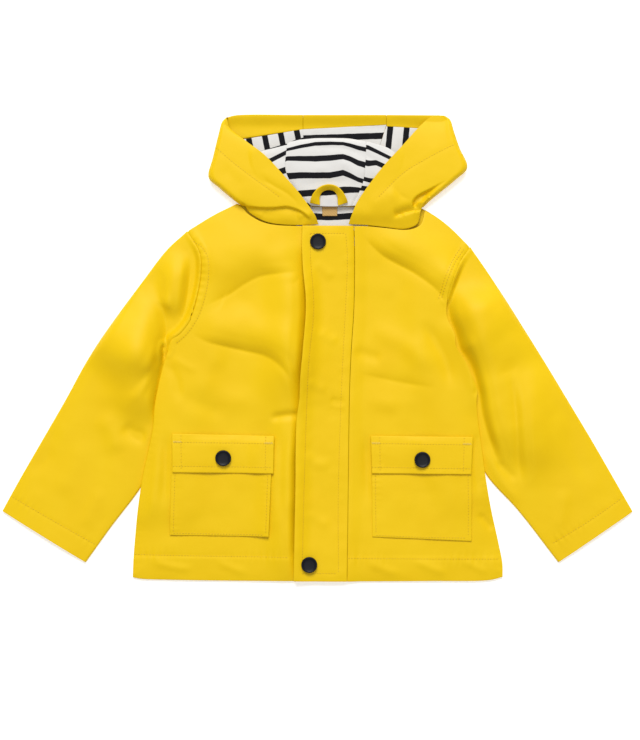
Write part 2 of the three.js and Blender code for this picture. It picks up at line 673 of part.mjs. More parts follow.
// Ring snaps: a dished cap each, on the storm flap and on the pocket flaps
const snapProfile = [[0, 0], [7.2, 0], [8, 0.6], [8, 1.7], [6.9, 2.4], [5.6, 2.4], [4.8, 1.8], [0, 1.6]];
const snapSides = 20;
const snapTables = [
  { name: 'flap_snap_top', x: 318, y: 242, on: stormFlap },
  { name: 'flap_snap_bottom', x: 309.3, y: 564.2, on: stormFlap },
  { name: 'right_pocket_snap', x: 223.6, y: 457.8, on: pockets[0].flap },
  { name: 'left_pocket_snap', x: 421.9, y: 459.4, on: pockets[1].flap },
];

function snap({ name, x, y, on }) {
  const scale = snapRadius / 8;
  const profile = snapProfile.map(([r, z]) => new THREE.Vector2(r * scale, z));
  const geometry = new THREE.LatheGeometry(profile, snapSides).rotateX(Math.PI / 2);
  const cap = mesh(name, geometry, snapFinish);
  cap.position.set(x - tableX, tableY - y, pileOf([on])(x, y, snapRadius + 1) + seamGap);
  return cap;
}

const coat = new THREE.Group();
const hood = new THREE.Group();
hood.add(...[hoodCentre, ...hoodSides, ...facings, ...floorLinings, crown, ...crownLinings].map((piece) => piece.mesh));
coat.add(...[...sleeves, back, neckLining, rightFront, leftFront, stormFlap].map((piece) => piece.mesh));
coat.add(...pockets.flatMap((pocket) => [pocket.bag.mesh, pocket.flap.mesh]));
coat.add(hood, hangerLoop.mesh, neckTab.mesh, ...snapTables.map(snap));

export default coat;
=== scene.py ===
# Child's raincoat laid flat: the looks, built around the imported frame.
# Tables are in table millimetres, x to the right and y down; placed() turns them into the frame's metres.
import math
import bpy
import bmesh
import numpy as np
from mathutils import Matrix


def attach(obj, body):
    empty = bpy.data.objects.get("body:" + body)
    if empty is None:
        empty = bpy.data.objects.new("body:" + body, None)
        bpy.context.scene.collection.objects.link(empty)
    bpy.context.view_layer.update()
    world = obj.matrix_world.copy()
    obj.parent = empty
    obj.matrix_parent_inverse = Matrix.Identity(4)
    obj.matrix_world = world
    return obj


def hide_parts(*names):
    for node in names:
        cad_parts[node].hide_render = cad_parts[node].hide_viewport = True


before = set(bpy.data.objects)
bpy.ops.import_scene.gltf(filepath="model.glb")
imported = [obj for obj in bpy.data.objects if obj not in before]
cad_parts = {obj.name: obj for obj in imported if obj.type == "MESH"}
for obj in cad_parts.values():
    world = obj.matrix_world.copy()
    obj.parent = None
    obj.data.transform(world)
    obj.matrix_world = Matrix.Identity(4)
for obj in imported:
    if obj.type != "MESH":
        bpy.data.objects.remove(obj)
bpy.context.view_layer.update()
scene = bpy.context.scene
print("frame loaded:", len(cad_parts), "nodes")

tableX, tableY = 317.5, 348.3  # the frame's origin on the laying-out table
coatCloth, doubledCloth, jerseyCloth = 1.1, 1.5, 0.9
pocketCloth, lidCloth, tapeCloth = 0.7, 1.1, 1.2
seamGap = 0.3
far = 1e9
fullStep = 1.5  # millimetres; step counts in the tables are for this spacing
meshStep = fullStep  # spacing of a panel's mesh

# The camera looks straight down on 640 x 740 mm of the table
cameraSet = dict(lens=85, sensor=36, x=2.5, y=-21.7, frameLong=740,
                 level=4)  # level: the height shown at scale


def addCamera():
    data = bpy.data.cameras.new("camera")
    data.lens, data.sensor_width = cameraSet["lens"], cameraSet["sensor"]
    camera = bpy.data.objects.new("camera", data)
    height = cameraSet["frameLong"] * cameraSet["lens"] / cameraSet["sensor"] + cameraSet["level"]
    camera.location = (cameraSet["x"] / 1000, cameraSet["y"] / 1000, height / 1000)
    scene.collection.objects.link(camera)
    scene.camera = camera


addCamera()

# Edges and plans on the table


def smoothLine(points, perSpan=24):  # a Catmull-Rom line through the points, with centripetal spacing
    pts = np.array(points, float)
    if len(pts) < 3:
        return pts
    ends = np.vstack([2 * pts[0] - pts[1], pts, 2 * pts[-1] - pts[-2]])
    spans = []
    for k in range(1, len(ends) - 2):
        p0, p1, p2, p3 = ends[k - 1:k + 3]
        t1 = np.linalg.norm(p1 - p0) ** 0.5
        t2 = t1 + np.linalg.norm(p2 - p1) ** 0.5
        t3 = t2 + np.linalg.norm(p3 - p2) ** 0.5
        t = np.linspace(t1, t2, perSpan, endpoint=False)[:, None]
        a1 = (t1 - t) / t1 * p0 + t / t1 * p1
        a2 = (t2 - t) / (t2 - t1) * p1 + (t - t1) / (t2 - t1) * p2
        a3 = (t3 - t) / (t3 - t2) * p2 + (t - t2) / (t3 - t2) * p3
        b1 = (t2 - t) / t2 * a1 + t / t2 * a2
        b2 = (t3 - t) / (t3 - t1) * a2 + (t - t1) / (t3 - t1) * a3
        spans.append((t2 - t) / (t2 - t1) * b1 + (t - t1) / (t2 - t1) * b2)
    return np.vstack(spans + [pts[-1:]])


def edgeOf(points, inset=0.0, part=(0.0, 1.0)):  # share of the run -> place; inset moves it sideways
    pts = smoothLine(points)
    run = np.concatenate([[0], np.cumsum(np.linalg.norm(np.diff(pts, axis=0), axis=1))])
    run /= run[-1]
    slope = np.gradient(pts, run, axis=0)
    slope /= np.linalg.norm(slope, axis=1)[:, None]
    moved = pts + inset * np.stack([slope[:, 1], -slope[:, 0]], 1)

    def at(share):
        s = part[0] + np.asarray(share) * (part[1] - part[0])
        return np.stack([np.interp(s, run, moved[:, 0]), np.interp(s, run, moved[:, 1])], -1)
    return at


def chain(*parts):  # (steps, edge) pairs end to end, each over its share of the steps
    total = sum(steps for steps, _ in parts)

    def at(share):
        left = np.asarray(share, float) * total
        place = np.zeros(left.shape + (2,))
        start = 0
        for steps, edge in parts:
            here = (left >= start - 1e-9) & (left <= start + steps + 1e-9)
            place[here] = edge(np.clip((left[here] - start) / steps, 0, 1))
            start += steps
        return place
    return at


def panelPlan(top, bottom, left, right):
    c = [np.asarray(edge(np.array(s))) for edge, s in ((left, 0.0), (right, 0.0), (left, 1.0), (right, 1.0))]

    def at(u, v):
        a, b = u[..., None], v[..., None]
        flat = (1 - b) * ((1 - a) * c[0] + a * c[1]) + b * ((1 - a) * c[2] + a * c[3])
        return (1 - b) * top(u) + b * bottom(u) + (1 - a) * left(v) + a * right(v) - flat
    return at


def straightPlan(corners):
    a, b, c, d = (np.array(p, float) for p in corners)

    def at(u, v):
        s, t = u[..., None], v[..., None]
        return (1 - t) * ((1 - s) * a + s * b) + t * ((1 - s) * d + s * c)
    return at


def gridUV(across, along):
    return np.meshgrid(np.linspace(0, 1, across + 1), np.linspace(0, 1, along + 1))


def smoothStep(low, high, value):
    t = np.clip((value - low) / (high - low), 0, 1)
    return t * t * (3 - 2 * t)


def nearLine(line, x, y):  # distance to a line, its side (1 is left of its way) and the share of its run
    pts = np.asarray(line, float)
    a, b = pts[:-1], pts[1:]
    lengths = np.linalg.norm(b - a, axis=1)
    runs = np.concatenate([[0], np.cumsum(lengths)])
    best = np.full(x.shape, far)
    side = np.zeros(x.shape)
    share = np.zeros(x.shape)
    for k in range(len(a)):
        d = (b[k] - a[k]) / max(lengths[k], 1e-9)
        px, py = x - a[k][0], y - a[k][1]
        along = np.clip(px * d[0] + py * d[1], 0, lengths[k])
        away = np.hypot(px - along * d[0], py - along * d[1])
        hit = away < best
        best = np.where(hit, away, best)
        side = np.where(hit, np.sign(px * d[1] - py * d[0]), side)
        share = np.where(hit, (runs[k] + along) / runs[-1], share)
    return best, side, share


def fadeEnds(share, run):  # 1 along a line, down to 0 over this share of it at both ends
    return smoothStep(0, run, share) * smoothStep(0, run, 1 - share)


def boxed(line, reach, x, y):  # which points lie within reach of a line's box
    low, high = line.min(0) - reach, line.max(0) + reach
    return (x > low[0]) & (x < high[0]) & (y > low[1]) & (y < high[1])


# Height maps: what cloth lies on

cell = 1.5  # millimetres
mapWide, mapLong = 436, 400  # cells


def finer(grid, times=3):
    def stretch(values):
        n = len(values)
        t = np.linspace(0, n - 1, (n - 1) * times + 1)
        k = np.minimum(t.astype(int), n - 2)
        w = (t - k).reshape((-1,) + (1,) * (values.ndim - 1))
        return values[k] * (1 - w) + values[k + 1] * w
    return stretch(stretch(grid).swapaxes(0, 1)).swapaxes(0, 1)


def insideOf(outline):
    def test(x, y):
        inside = np.zeros(x.shape, bool)
        for (ax, ay), (bx, by) in zip(outline, np.roll(outline, -1, axis=0)):
            if ay != by:
                cross = ((ay > y) != (by > y)) & (x < ax + (y - ay) / (by - ay) * (bx - ax))
                inside ^= cross
        return inside
    return test


def mapOf(pieces, times=3):
    tops = np.zeros((mapLong, mapWide))
    for piece in pieces:
        fine = finer(piece["top"], times).reshape(-1, 3)
        if piece.get("inside"):
            fine = fine[piece["inside"](fine[:, 0], fine[:, 1])]
        ix = np.clip((fine[:, 0] / cell).astype(int), 0, mapWide - 1)
        iy = np.clip((fine[:, 1] / cell).astype(int), 0, mapLong - 1)
        np.maximum.at(tops, (iy, ix), fine[:, 2])
    return tops


def dilate(tops, cells):
    for axis in (0, 1):
        grown = tops.copy()
        for k in range(1, cells + 1):
            grown = np.maximum(grown, np.maximum(np.roll(tops, k, axis), np.roll(tops, -k, axis)))
        tops = grown
    return tops


def blur(tops, cells):
    for axis in (0, 1):
        total = np.zeros_like(tops)
        for k in range(-cells, cells + 1):
            total += np.roll(tops, k, axis)
        tops = total / (2 * cells + 1)
    return tops


def between(values, ix, iy, fx, fy):  # a map's value between the four cells from ix, iy on
    low = values[iy, ix] * (1 - fx) + values[iy, ix + 1] * fx
    high = values[iy + 1, ix] * (1 - fx) + values[iy + 1, ix + 1] * fx
    return low * (1 - fy) + high * fy


def sample(tops, x, y):
    gx = np.clip(x / cell - 0.5, 0, mapWide - 1.001)
    gy = np.clip(y / cell - 0.5, 0, mapLong - 1.001)
    ix, iy = gx.astype(int), gy.astype(int)
    return between(tops, ix, iy, gx - ix, gy - iy)


def heightAt(tops, x, y):  # of one place
    return float(sample(tops, np.array([x]), np.array([y]))[0])


def restOn(pieces, reach=2, soft=3, gap=seamGap):  # a soft cover over the pieces; reach and soft in cells
    cover = blur(dilate(mapOf(pieces), reach + 2 * soft), soft)
    cover = blur(cover, soft)
    return lambda x, y: sample(cover, x, y) + gap


# Folds: each row is a line with its half width and its height, below zero for a trough

fieldSpans = 8  # steps of a smooth line from point to point
fadeSet = dict(fold=0.3, roll=0.35, step=0.12)  # the share of a line over which its form fades at each end


def foldField(rows, gain=1.0):
    lines = [(smoothLine(line, fieldSpans), width, height * gain) for line, width, height in rows]

    def at(x, y):
        z = np.zeros(x.shape)
        for line, width, height in lines:
            near = boxed(line, 4 * width, x, y)
            away, _, share = nearLine(line, x[near], y[near])
            z[near] += height * np.exp(-(away / width) ** 2) * fadeEnds(share, fadeSet["fold"])
        return z
    return at


# Rolls: cloth that swells slowly and turns down to a sharp crease. Each row is the crease line, the height,
# the width of the turned side at the line's two ends, the run of the slow side, and the side that swells:
# 1 is left of the line's direction as seen from above, -1 right

rollSet = dict(crease=-0.35, creaseWide=1.8, blur=4, sharp=4, soft=13)  # soft: past it the roll is blurred


def rollField(rows, gain=1.0, power=1.0):  # power above 1 eases the turned side into its crease
    lines = [(smoothLine(row[0], fieldSpans), row[1] * gain, *row[2:]) for row in rows]

    def parts(x, y):
        z, nearest = np.zeros(x.shape), np.full(x.shape, far)
        for line, height, wideStart, wideEnd, slow, swells in lines:
            near = boxed(line, max(wideStart, wideEnd) + 2.6 * slow, x, y)
            away, side, share = nearLine(line, x[near], y[near])
            nearest[near] = np.minimum(nearest[near], away)
            away = away * side * swells
            wide = wideStart + (wideEnd - wideStart) * share
            turned = np.sin(np.pi / 2 * np.clip(away / wide, 0, 1)) ** power
            fading = np.exp(-(np.maximum(0, away - wide) / slow) ** 2)
            crease = rollSet["crease"] * np.exp(-(away / rollSet["creaseWide"]) ** 2)
            z[near] += (height * turned * fading + crease) * fadeEnds(share, fadeSet["roll"])
        return z, nearest

    mapX, mapY = np.meshgrid((np.arange(mapWide) + 0.5) * cell, (np.arange(mapLong) + 0.5) * cell)
    soft = blur(blur(parts(mapX, mapY)[0], rollSet["blur"]), rollSet["blur"])

    def at(x, y):
        sharp, nearest = parts(x, y)
        blurred = smoothStep(rollSet["sharp"], rollSet["soft"], nearest)
        return sharp * (1 - blurred) + sample(soft, x, y) * blurred
    return at


def stepField(rows):  # cloth that drops beside a line and comes up again: line, depth, run, side that drops
    lines = [(smoothLine(row[0], fieldSpans), *row[1:]) for row in rows]
    start, full = -0.4, 1.8  # where the drop starts and ends, from the line

    def at(x, y):
        z = np.zeros(x.shape)
        for line, depth, run, drops in lines:
            away, side, share = nearLine(line, x, y)
            away = away * side * drops
            rising = np.exp(-(np.maximum(0, away - full) / run) ** 2)
            z -= depth * fadeEnds(share, fadeSet["step"]) * smoothStep(start, full, away) * rising
        return z
    return at


def softNoise(seed, size, height, octaves=3):  # smooth uneven ground, size in millimetres
    dice = np.random.default_rng(seed)
    layers = []
    for k in range(octaves):
        step = size / 1.9 ** k
        values = dice.normal(size=(int(620 / step) + 4, int(660 / step) + 4))
        layers.append((values, step, height / 1.8 ** k))

    def at(x, y):
        z = np.zeros(x.shape)
        for values, step, tall in layers:
            gx, gy = x / step + 1, y / step + 1
            ix, iy = gx.astype(int), gy.astype(int)
            fx, fy = smoothStep(0, 1, gx - ix), smoothStep(0, 1, gy - iy)
            z += tall * between(values, ix, iy, fx, fy)
        return z
    return at


def puckerField(lines, pitch=7.0, run=6.0, height=0.35, seed=3):  # small waves that a seam gathers beside it
    dice = np.random.default_rng(seed)
    phases = [(smoothLine(line, fieldSpans), dice.uniform(0, 6.28)) for line in lines]
    driftLong, unevenLong = 23, 17  # millimetres over which the pitch and the height of the waves change

    def at(x, y):
        z = np.zeros(x.shape)
        for line, phase in phases:
            away, _, share = nearLine(line, x, y)
            along = share * np.linalg.norm(np.diff(line, axis=0), axis=1).sum()
            wave = np.sin(6.28 * along / pitch + phase + 1.4 * np.sin(along / driftLong + phase))
            uneven = 0.6 + 0.4 * np.sin(along / unevenLong + 2 * phase)
            z += height * wave * uneven * np.exp(-(away / run) ** 2)
        return z
    return at


def grooveField(lines, width=1.7, depth=0.2):  # where a stitch row pulls the cloth down
    lines = [smoothLine(line, fieldSpans) for line in lines]

    def at(x, y):
        z = np.zeros(x.shape)
        for line in lines:
            near = boxed(line, 3 * width, x, y)
            away = nearLine(line, x[near], y[near])[0]
            z[near] = np.minimum(z[near], -depth * np.exp(-(away / width) ** 2))
        return z
    return at


def toLines(lines, x, y, spans=fieldSpans):  # distance to the nearest of some lines
    away = np.full(x.shape, far)
    for line in lines:
        away = np.minimum(away, nearLine(smoothLine(line, spans), x, y)[0])
    return away


def liftFrom(lines, full, run):  # how far cloth lifts off what is under it, away from these edges
    return lambda x, y: full * (1 - np.exp(-toLines(lines, x, y) / run))


def summed(base, *fields):  # fields on top of each other, never below zero
    return lambda x, y: np.maximum(0, base + sum(field(x, y) for field in fields))


# Meshes


def placed(points):
    return (np.asarray(points) * [1, -1, 1] + [-tableX, tableY, 0]) / 1000


def gridObject(name, points, uv, closeRing=False):  # points and uv are (rows, columns, ...) on a grid
    along, across = points.shape[0] - 1, points.shape[1] - 1
    bm = bmesh.new()
    bmesh.ops.create_grid(bm, x_segments=across, y_segments=along, size=0.5)
    mesh = bpy.data.meshes.new(name)
    bm.to_mesh(mesh)
    flat = np.empty(len(mesh.vertices) * 3)
    mesh.vertices.foreach_get("co", flat)
    flat = flat.reshape(-1, 3)
    column = np.rint((flat[:, 0] + 0.5) * across).astype(int)
    row = np.rint((0.5 - flat[:, 1]) * along).astype(int)
    mesh.vertices.foreach_set("co", placed(points[row, column]).ravel())
    corner = np.empty(len(mesh.loops), int)
    mesh.loops.foreach_get("vertex_index", corner)
    layer = mesh.uv_layers.new(name="cloth")
    layer.data.foreach_set("uv", (uv[row, column][corner] / 1000).ravel())
    mesh.update()
    bm.clear()
    bm.from_mesh(mesh)
    if closeRing:
        bmesh.ops.remove_doubles(bm, verts=bm.verts, dist=1e-6)
        bmesh.ops.recalc_face_normals(bm, faces=bm.faces)
        high = placed([[0, 0, np.median(points[..., 2])]])[0][2]
        upwards = sum(f.normal.z for f in bm.faces if f.calc_center_median().z > high)
    else:
        upwards = sum(f.normal.z for f in bm.faces if f.index % 7 == 0)  # a seventh of them is enough
    if upwards < 0:
        bmesh.ops.reverse_faces(bm, faces=bm.faces)
    for face in bm.faces:
        face.smooth = True
    bm.to_mesh(mesh)
    bm.free()
    piece = bpy.data.objects.new(name, mesh)
    scene.collection.objects.link(piece)
    return piece


def objectFrom(name, bm, smooth=True):
    for face in bm.faces:
        face.smooth = smooth
    mesh = bpy.data.meshes.new(name)
    bm.to_mesh(mesh)
    bm.free()
    piece = bpy.data.objects.new(name, mesh)
    scene.collection.objects.link(piece)
    return piece


def thicken(piece, thickness, rim=0.35):
    wall = piece.modifiers.new("wall", "SOLIDIFY")
    wall.thickness, wall.offset, wall.use_even_offset = thickness / 1000, -1, False
    soft = piece.modifiers.new("softRim", "BEVEL")
    soft.width, soft.segments, soft.limit_method = rim / 1000, 2, "ANGLE"
    soft.angle_limit = math.radians(55)
    soft.use_clamp_overlap = True


def stepCount(number, least=4):  # steps for the present spacing of the mesh
    return max(least, int(number * fullStep / meshStep))


def gridArea(points):
    a = points[1:, 1:] - points[:-1, :-1]
    b = points[1:, :-1] - points[:-1, 1:]
    return np.linalg.norm(np.cross(a, b), axis=-1).sum() / 2


pieces = {}  # the upper face of each piece as a grid of table points


# size is the laid size in millimetres, flat the cut size and area in metres; under and lift give heights
def cloth(name, plan, size, under, lift, thickness, finish, uv=None, step=1.0,
          edge=0.35):
    across, along = (max(4, int(n / (meshStep * step))) for n in size)
    u, v = gridUV(across, along)
    place = plan(u, v)
    x, y = place[..., 0], place[..., 1]
    points = np.dstack([x, y, under(x, y) + lift(x, y) + thickness])
    uvs = np.dstack(uv(x, y)) if uv else np.dstack([u * size[0], v * size[1]])
    piece = gridObject(name, points, uvs)
    thicken(piece, thickness, edge)
    finishPiece(piece, name, finish)
    pieces[name] = dict(top=points)
    tell(piece, points)


def tell(piece, points):
    print(f"{piece.name}: {len(piece.data.polygons)} faces, cloth {gridArea(points) / 1e6:.4f} m2")


def finishPiece(piece, node, finish):
    piece.data.materials.append(finish)
    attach(piece, "root")
    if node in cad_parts:
        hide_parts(node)


# Finishes


def linear(hexColour):  # "#f2c81f" -> linear RGBA
    channels = [int(hexColour[k:k + 2], 16) / 255 for k in (1, 3, 5)]
    return [c / 12.92 if c <= 0.04045 else ((c + 0.055) / 1.055) ** 2.4 for c in channels] + [1]


def addNode(tree, kind, settings=None, links=None):
    node = tree.nodes.new(kind)
    for key, value in (settings or {}).items():
        if isinstance(key, int) or key in node.inputs:
            node.inputs[key].default_value = value
        else:
            setattr(node, key, value)
    for socket, source in (links or {}).items():
        tree.links.new(source, node.inputs[socket])
    return node


def newFinish(name):
    finish = bpy.data.materials.new(name)
    finish.use_nodes = True
    return finish, finish.node_tree, finish.node_tree.nodes["Principled BSDF"]


def texture(tree, kind, place, sizeMm, **more):  # a pattern at a size in millimetres
    return addNode(tree, "ShaderNodeTex" + kind, {"Scale": 1000 / sizeMm, **more}, {"Vector": place})


def tinted(tree, shader, factor, first, second):  # a base colour between two, by a factor
    tint = addNode(tree, "ShaderNodeMix", {"data_type": "RGBA"}, {"Factor": factor})
    tint.inputs[6].default_value, tint.inputs[7].default_value = linear(first), linear(second)
    tree.links.new(tint.outputs[2], shader.inputs["Base Color"])


def glossed(tree, shader, factor, low, high):  # a roughness between two, by a factor
    gloss = addNode(tree, "ShaderNodeMapRange", {"To Min": low, "To Max": high}, {"Value": factor})
    tree.links.new(gloss.outputs[0], shader.inputs["Roughness"])


def bumped(tree, height, strength, depthMm, under=None):  # a bump, over another one where that is given
    links = {"Height": height, "Normal": under} if under else {"Height": height}
    bump = addNode(tree, "ShaderNodeBump", {"Strength": strength, "Distance": depthMm / 1000}, links)
    return bump.outputs["Normal"]


ribWave = 6.28  # a straight rib's width times this is about the size that a wave texture takes


coatSet = dict(light="#e7c107", deep="#e3b903", mottleMm=45, roughness=0.5, weaveMm=0.55, weaveDepth=0.02,
               crumpleMm=22, crumpleDepth=0.5)


def coatedCotton():  # polyurethane-coated cotton: even colour, soft satin gloss over a faint plain weave
    finish, tree, shader = newFinish("coatedCotton")
    place = addNode(tree, "ShaderNodeTexCoord").outputs["Object"]
    mottle = texture(tree, "Noise", place, coatSet["mottleMm"], Detail=3).outputs["Fac"]
    tinted(tree, shader, mottle, coatSet["light"], coatSet["deep"])
    glossed(tree, shader, mottle, coatSet["roughness"] - 0.05, coatSet["roughness"] + 0.07)
    weave = texture(tree, "Voronoi", place, coatSet["weaveMm"])
    crumple = texture(tree, "Noise", place, coatSet["crumpleMm"], Detail=2, Roughness=0.55)
    fine = bumped(tree, weave.outputs["Distance"], 0.12, coatSet["weaveDepth"])
    rough = bumped(tree, crumple.outputs["Fac"], 0.5, coatSet["crumpleDepth"], fine)
    tree.links.new(rough, shader.inputs["Normal"])
    shader.inputs["IOR"].default_value = 1.46
    shader.inputs["Specular IOR Level"].default_value = 0.2
    return finish


jerseySet = dict(white="#d8d6d2", black="#0d0c11", stripe=6.4, pitch=18.0, ribMm=0.9)


def stripedJersey(name, edgeMm=0.35):  # cotton jersey: white with yarn-dyed stripes, matte, fine knit ribs
    finish, tree, shader = newFinish(name)
    place = addNode(tree, "ShaderNodeUVMap", {"uv_map": "cloth"}).outputs["UV"]
    axes = addNode(tree, "ShaderNodeSeparateXYZ", {}, {"Vector": place})
    wobble = texture(tree, "Noise", place, 6, Detail=2)
    shift = addNode(tree, "ShaderNodeMath", {"operation": "MULTIPLY_ADD", 1: 0.0006},
                    {0: wobble.outputs["Fac"], 2: axes.outputs["Y"]})
    turn = addNode(tree, "ShaderNodeMath", {"operation": "PINGPONG", 1: jerseySet["pitch"] / 2000},
                   {0: shift.outputs[0]})
    start, end = (jerseySet["stripe"] - edgeMm) / 2000, (jerseySet["stripe"] + edgeMm) / 2000
    band = addNode(tree, "ShaderNodeMapRange", {"From Min": start, "From Max": end},
                   {"Value": turn.outputs[0]})
    tinted(tree, shader, band.outputs[0], jerseySet["black"], jerseySet["white"])
    ribs = texture(tree, "Wave", place, jerseySet["ribMm"] * ribWave, Distortion=0.6, Detail=1)
    tree.links.new(bumped(tree, ribs.outputs["Fac"], 0.25, 0.1), shader.inputs["Normal"])
    shader.inputs["Roughness"].default_value = 0.9
    shader.inputs["Sheen Weight"].default_value = 0.04
    shader.inputs["Specular IOR Level"].default_value = 0.25
    return finish


def enamelledCap():  # brass cap sprayed with navy-black enamel: dark, with a soft clear gloss
    finish, tree, shader = newFinish("enamelledCap")
    place = addNode(tree, "ShaderNodeTexCoord").outputs["Object"]
    dust = texture(tree, "Noise", place, 0.8, Detail=3).outputs["Fac"]
    glossed(tree, shader, dust, 0.38, 0.52)
    tree.links.new(bumped(tree, dust, 0.08, 0.05), shader.inputs["Normal"])
    shader.inputs["Base Color"].default_value = linear("#060812")
    shader.inputs["Specular IOR Level"].default_value = 0.22
    return finish


def wovenTape():  # cotton twill tape, tan, matte, with a fine slanted rib
    finish, tree, shader = newFinish("wovenTape")
    place = addNode(tree, "ShaderNodeTexCoord").outputs["Object"]
    twill = texture(tree, "Wave", place, 0.7 * ribWave, bands_direction="DIAGONAL",
                    Distortion=0.4).outputs["Fac"]
    tinted(tree, shader, twill, "#b08a4a", "#c6a165")
    tree.links.new(bumped(tree, twill, 0.4, 0.1), shader.inputs["Normal"])
    shader.inputs["Roughness"].default_value = 0.85
    return finish


def sewingThread(name, dark, pale):  # spun polyester thread, slightly shiny
    finish, tree, shader = newFinish(name)
    place = addNode(tree, "ShaderNodeTexCoord").outputs["Object"]
    tinted(tree, shader, texture(tree, "Noise", place, 0.5, Detail=2).outputs["Fac"], dark, pale)
    shader.inputs["Roughness"].default_value = 0.5
    return finish


coatFinish = coatedCotton()
jerseyFinish = stripedJersey("stripedJersey")
capFinish = enamelledCap()
tapeFinish = wovenTape()
threadFinish = sewingThread("sewingThread", "#d2ac0a", "#dfbb18")  # a shade deeper than the cloth
tackFinish = sewingThread("tackThread", "#d9b94a", "#e6cc6a")  # the bar tacks are paler
print("finishes made")

# Outlines of the coat; right and left are the wearer's

neckRight = [(237, 203.5), (243.5, 208.5), (247, 213), (252.5, 217), (262, 222), (275, 225), (302, 226.3),
             (345, 226.8)]
neckLeft = [(354.2, 226.5), (364, 226.3), (385, 228.3), (405, 230.2), (414, 228.6), (420.6, 224.8),
            (423, 219.5), (424.8, 210.5)]
shoulderRight = [(237, 203.5), (214, 214.5), (187.8, 230.3)]
shoulderLeft = [(424.8, 210.5), (434, 215), (450, 227), (469.3, 246)]
armholeRight = [(187, 231), (196, 245), (200.5, 256), (201, 271), (198, 292), (191, 315), (181, 330),
                (170, 340), (167, 350)]
armholeLeft = [(470.3, 246.7), (460, 262), (452, 281), (447, 298), (443.5, 315), (445, 331), (450, 346),
               (456, 358)]
sideRight = [(167, 350.6), (161.5, 368), (154, 403), (152, 426), (147, 450), (142, 472), (136, 510),
             (132, 550), (130.8, 574)]
sideLeft = [(478.6, 420), (486, 472), (491, 500), (500, 540), (504, 560), (504.4, 574)]
bulgeLeft = [(447, 298), (447, 316), (454.5, 333), (456, 345), (466, 361), (473, 377), (477.5, 388),
             (476.8, 400), (478.6, 420)]
hem = [(132.5, 577.5), (140, 579), (169, 580), (240, 581), (347, 581.6), (430, 581.2), (490, 580.2),
       (502.8, 577)]
flapSeam = [(353.9, 226), (354.6, 258), (353.8, 309), (351.3, 347.5), (349.6, 386), (348.9, 420),
            (347.9, 505), (346.9, 581.5)]
flapEdge = [(302.4, 225.8), (302, 243), (303.3, 271), (306, 297), (306, 316), (303.3, 347.5), (300.4, 378),
            (299.5, 399), (296.6, 420), (295.4, 493), (293.6, 581)]
bodySteps = dict(shoulder=3, armhole=8, side=15)
leftSteps = dict(shoulder=3, armhole=4, bulge=7, side=12)  # the same total


def bodySide(inset):
    edges = edgeOf(shoulderRight), edgeOf(armholeRight, inset), edgeOf(sideRight)
    return chain(*zip(bodySteps.values(), edges))


def bodySideLeft(inset, tucked):  # the front's edge swells over the sleeve below the armhole
    edges = edgeOf(shoulderLeft), edgeOf(armholeLeft[:4], -inset), edgeOf(bulgeLeft, tucked), edgeOf(sideLeft)
    return chain(*zip(leftSteps.values(), edges))


neckBack = [(237, 203.5), (244, 205.6), (254, 206.4), (280, 207.4), (331, 208), (380, 208.4), (412, 208.6),
            (421, 208), (424.8, 210.5)]
backPlan = panelPlan(edgeOf(neckBack), edgeOf(hem), bodySide(0.35), bodySideLeft(0.35, -0.6))


def outlineOf(plan, steps=80):
    s = np.linspace(0, 1, steps, endpoint=False)
    zero, one = np.zeros(steps), np.ones(steps)
    return np.vstack([plan(s, zero), plan(one, s), plan(1 - s, one), plan(zero, 1 - s)])


onBody = insideOf(outlineOf(backPlan))

# The fronts' main rolls
rightFrontRolls = rollField([
    ([(198, 310), (216, 301), (230, 294), (245, 284), (259, 277), (276, 274), (304, 271)],
     4.6, 42, 14, 30, 1),
    ([(303, 228), (304.5, 262), (307, 297), (307, 316), (304.5, 347), (301.5, 380), (299.5, 410),
      (297.5, 440)], 6.6, 17, 13, 22, -1),
    ([(300.5, 390), (298.5, 420), (297.5, 440), (296.5, 480), (295.5, 530), (294.5, 600)],
     4.6, 11, 10, 14, -1),
    ([(184, 328), (205, 341), (222, 346), (245, 351), (265, 356), (278, 364), (287, 374), (295, 392),
      (298, 404)], 4.2, 16, 22, 22, 1),
], 1.5)
leftFrontRolls = rollField([
    ([(358, 229), (367, 241), (383, 256), (397, 264), (413, 272.5), (426, 281.5), (437, 291), (446, 305),
      (451, 322)], 5.8, 15, 24, 22, 1),
    ([(352, 372), (380, 378), (410, 384), (440, 388)], 0.7, 14, 14, 18, 1),
], 1.35)

# Sleeves: flattened tubes with the body's sides lying on their inner parts

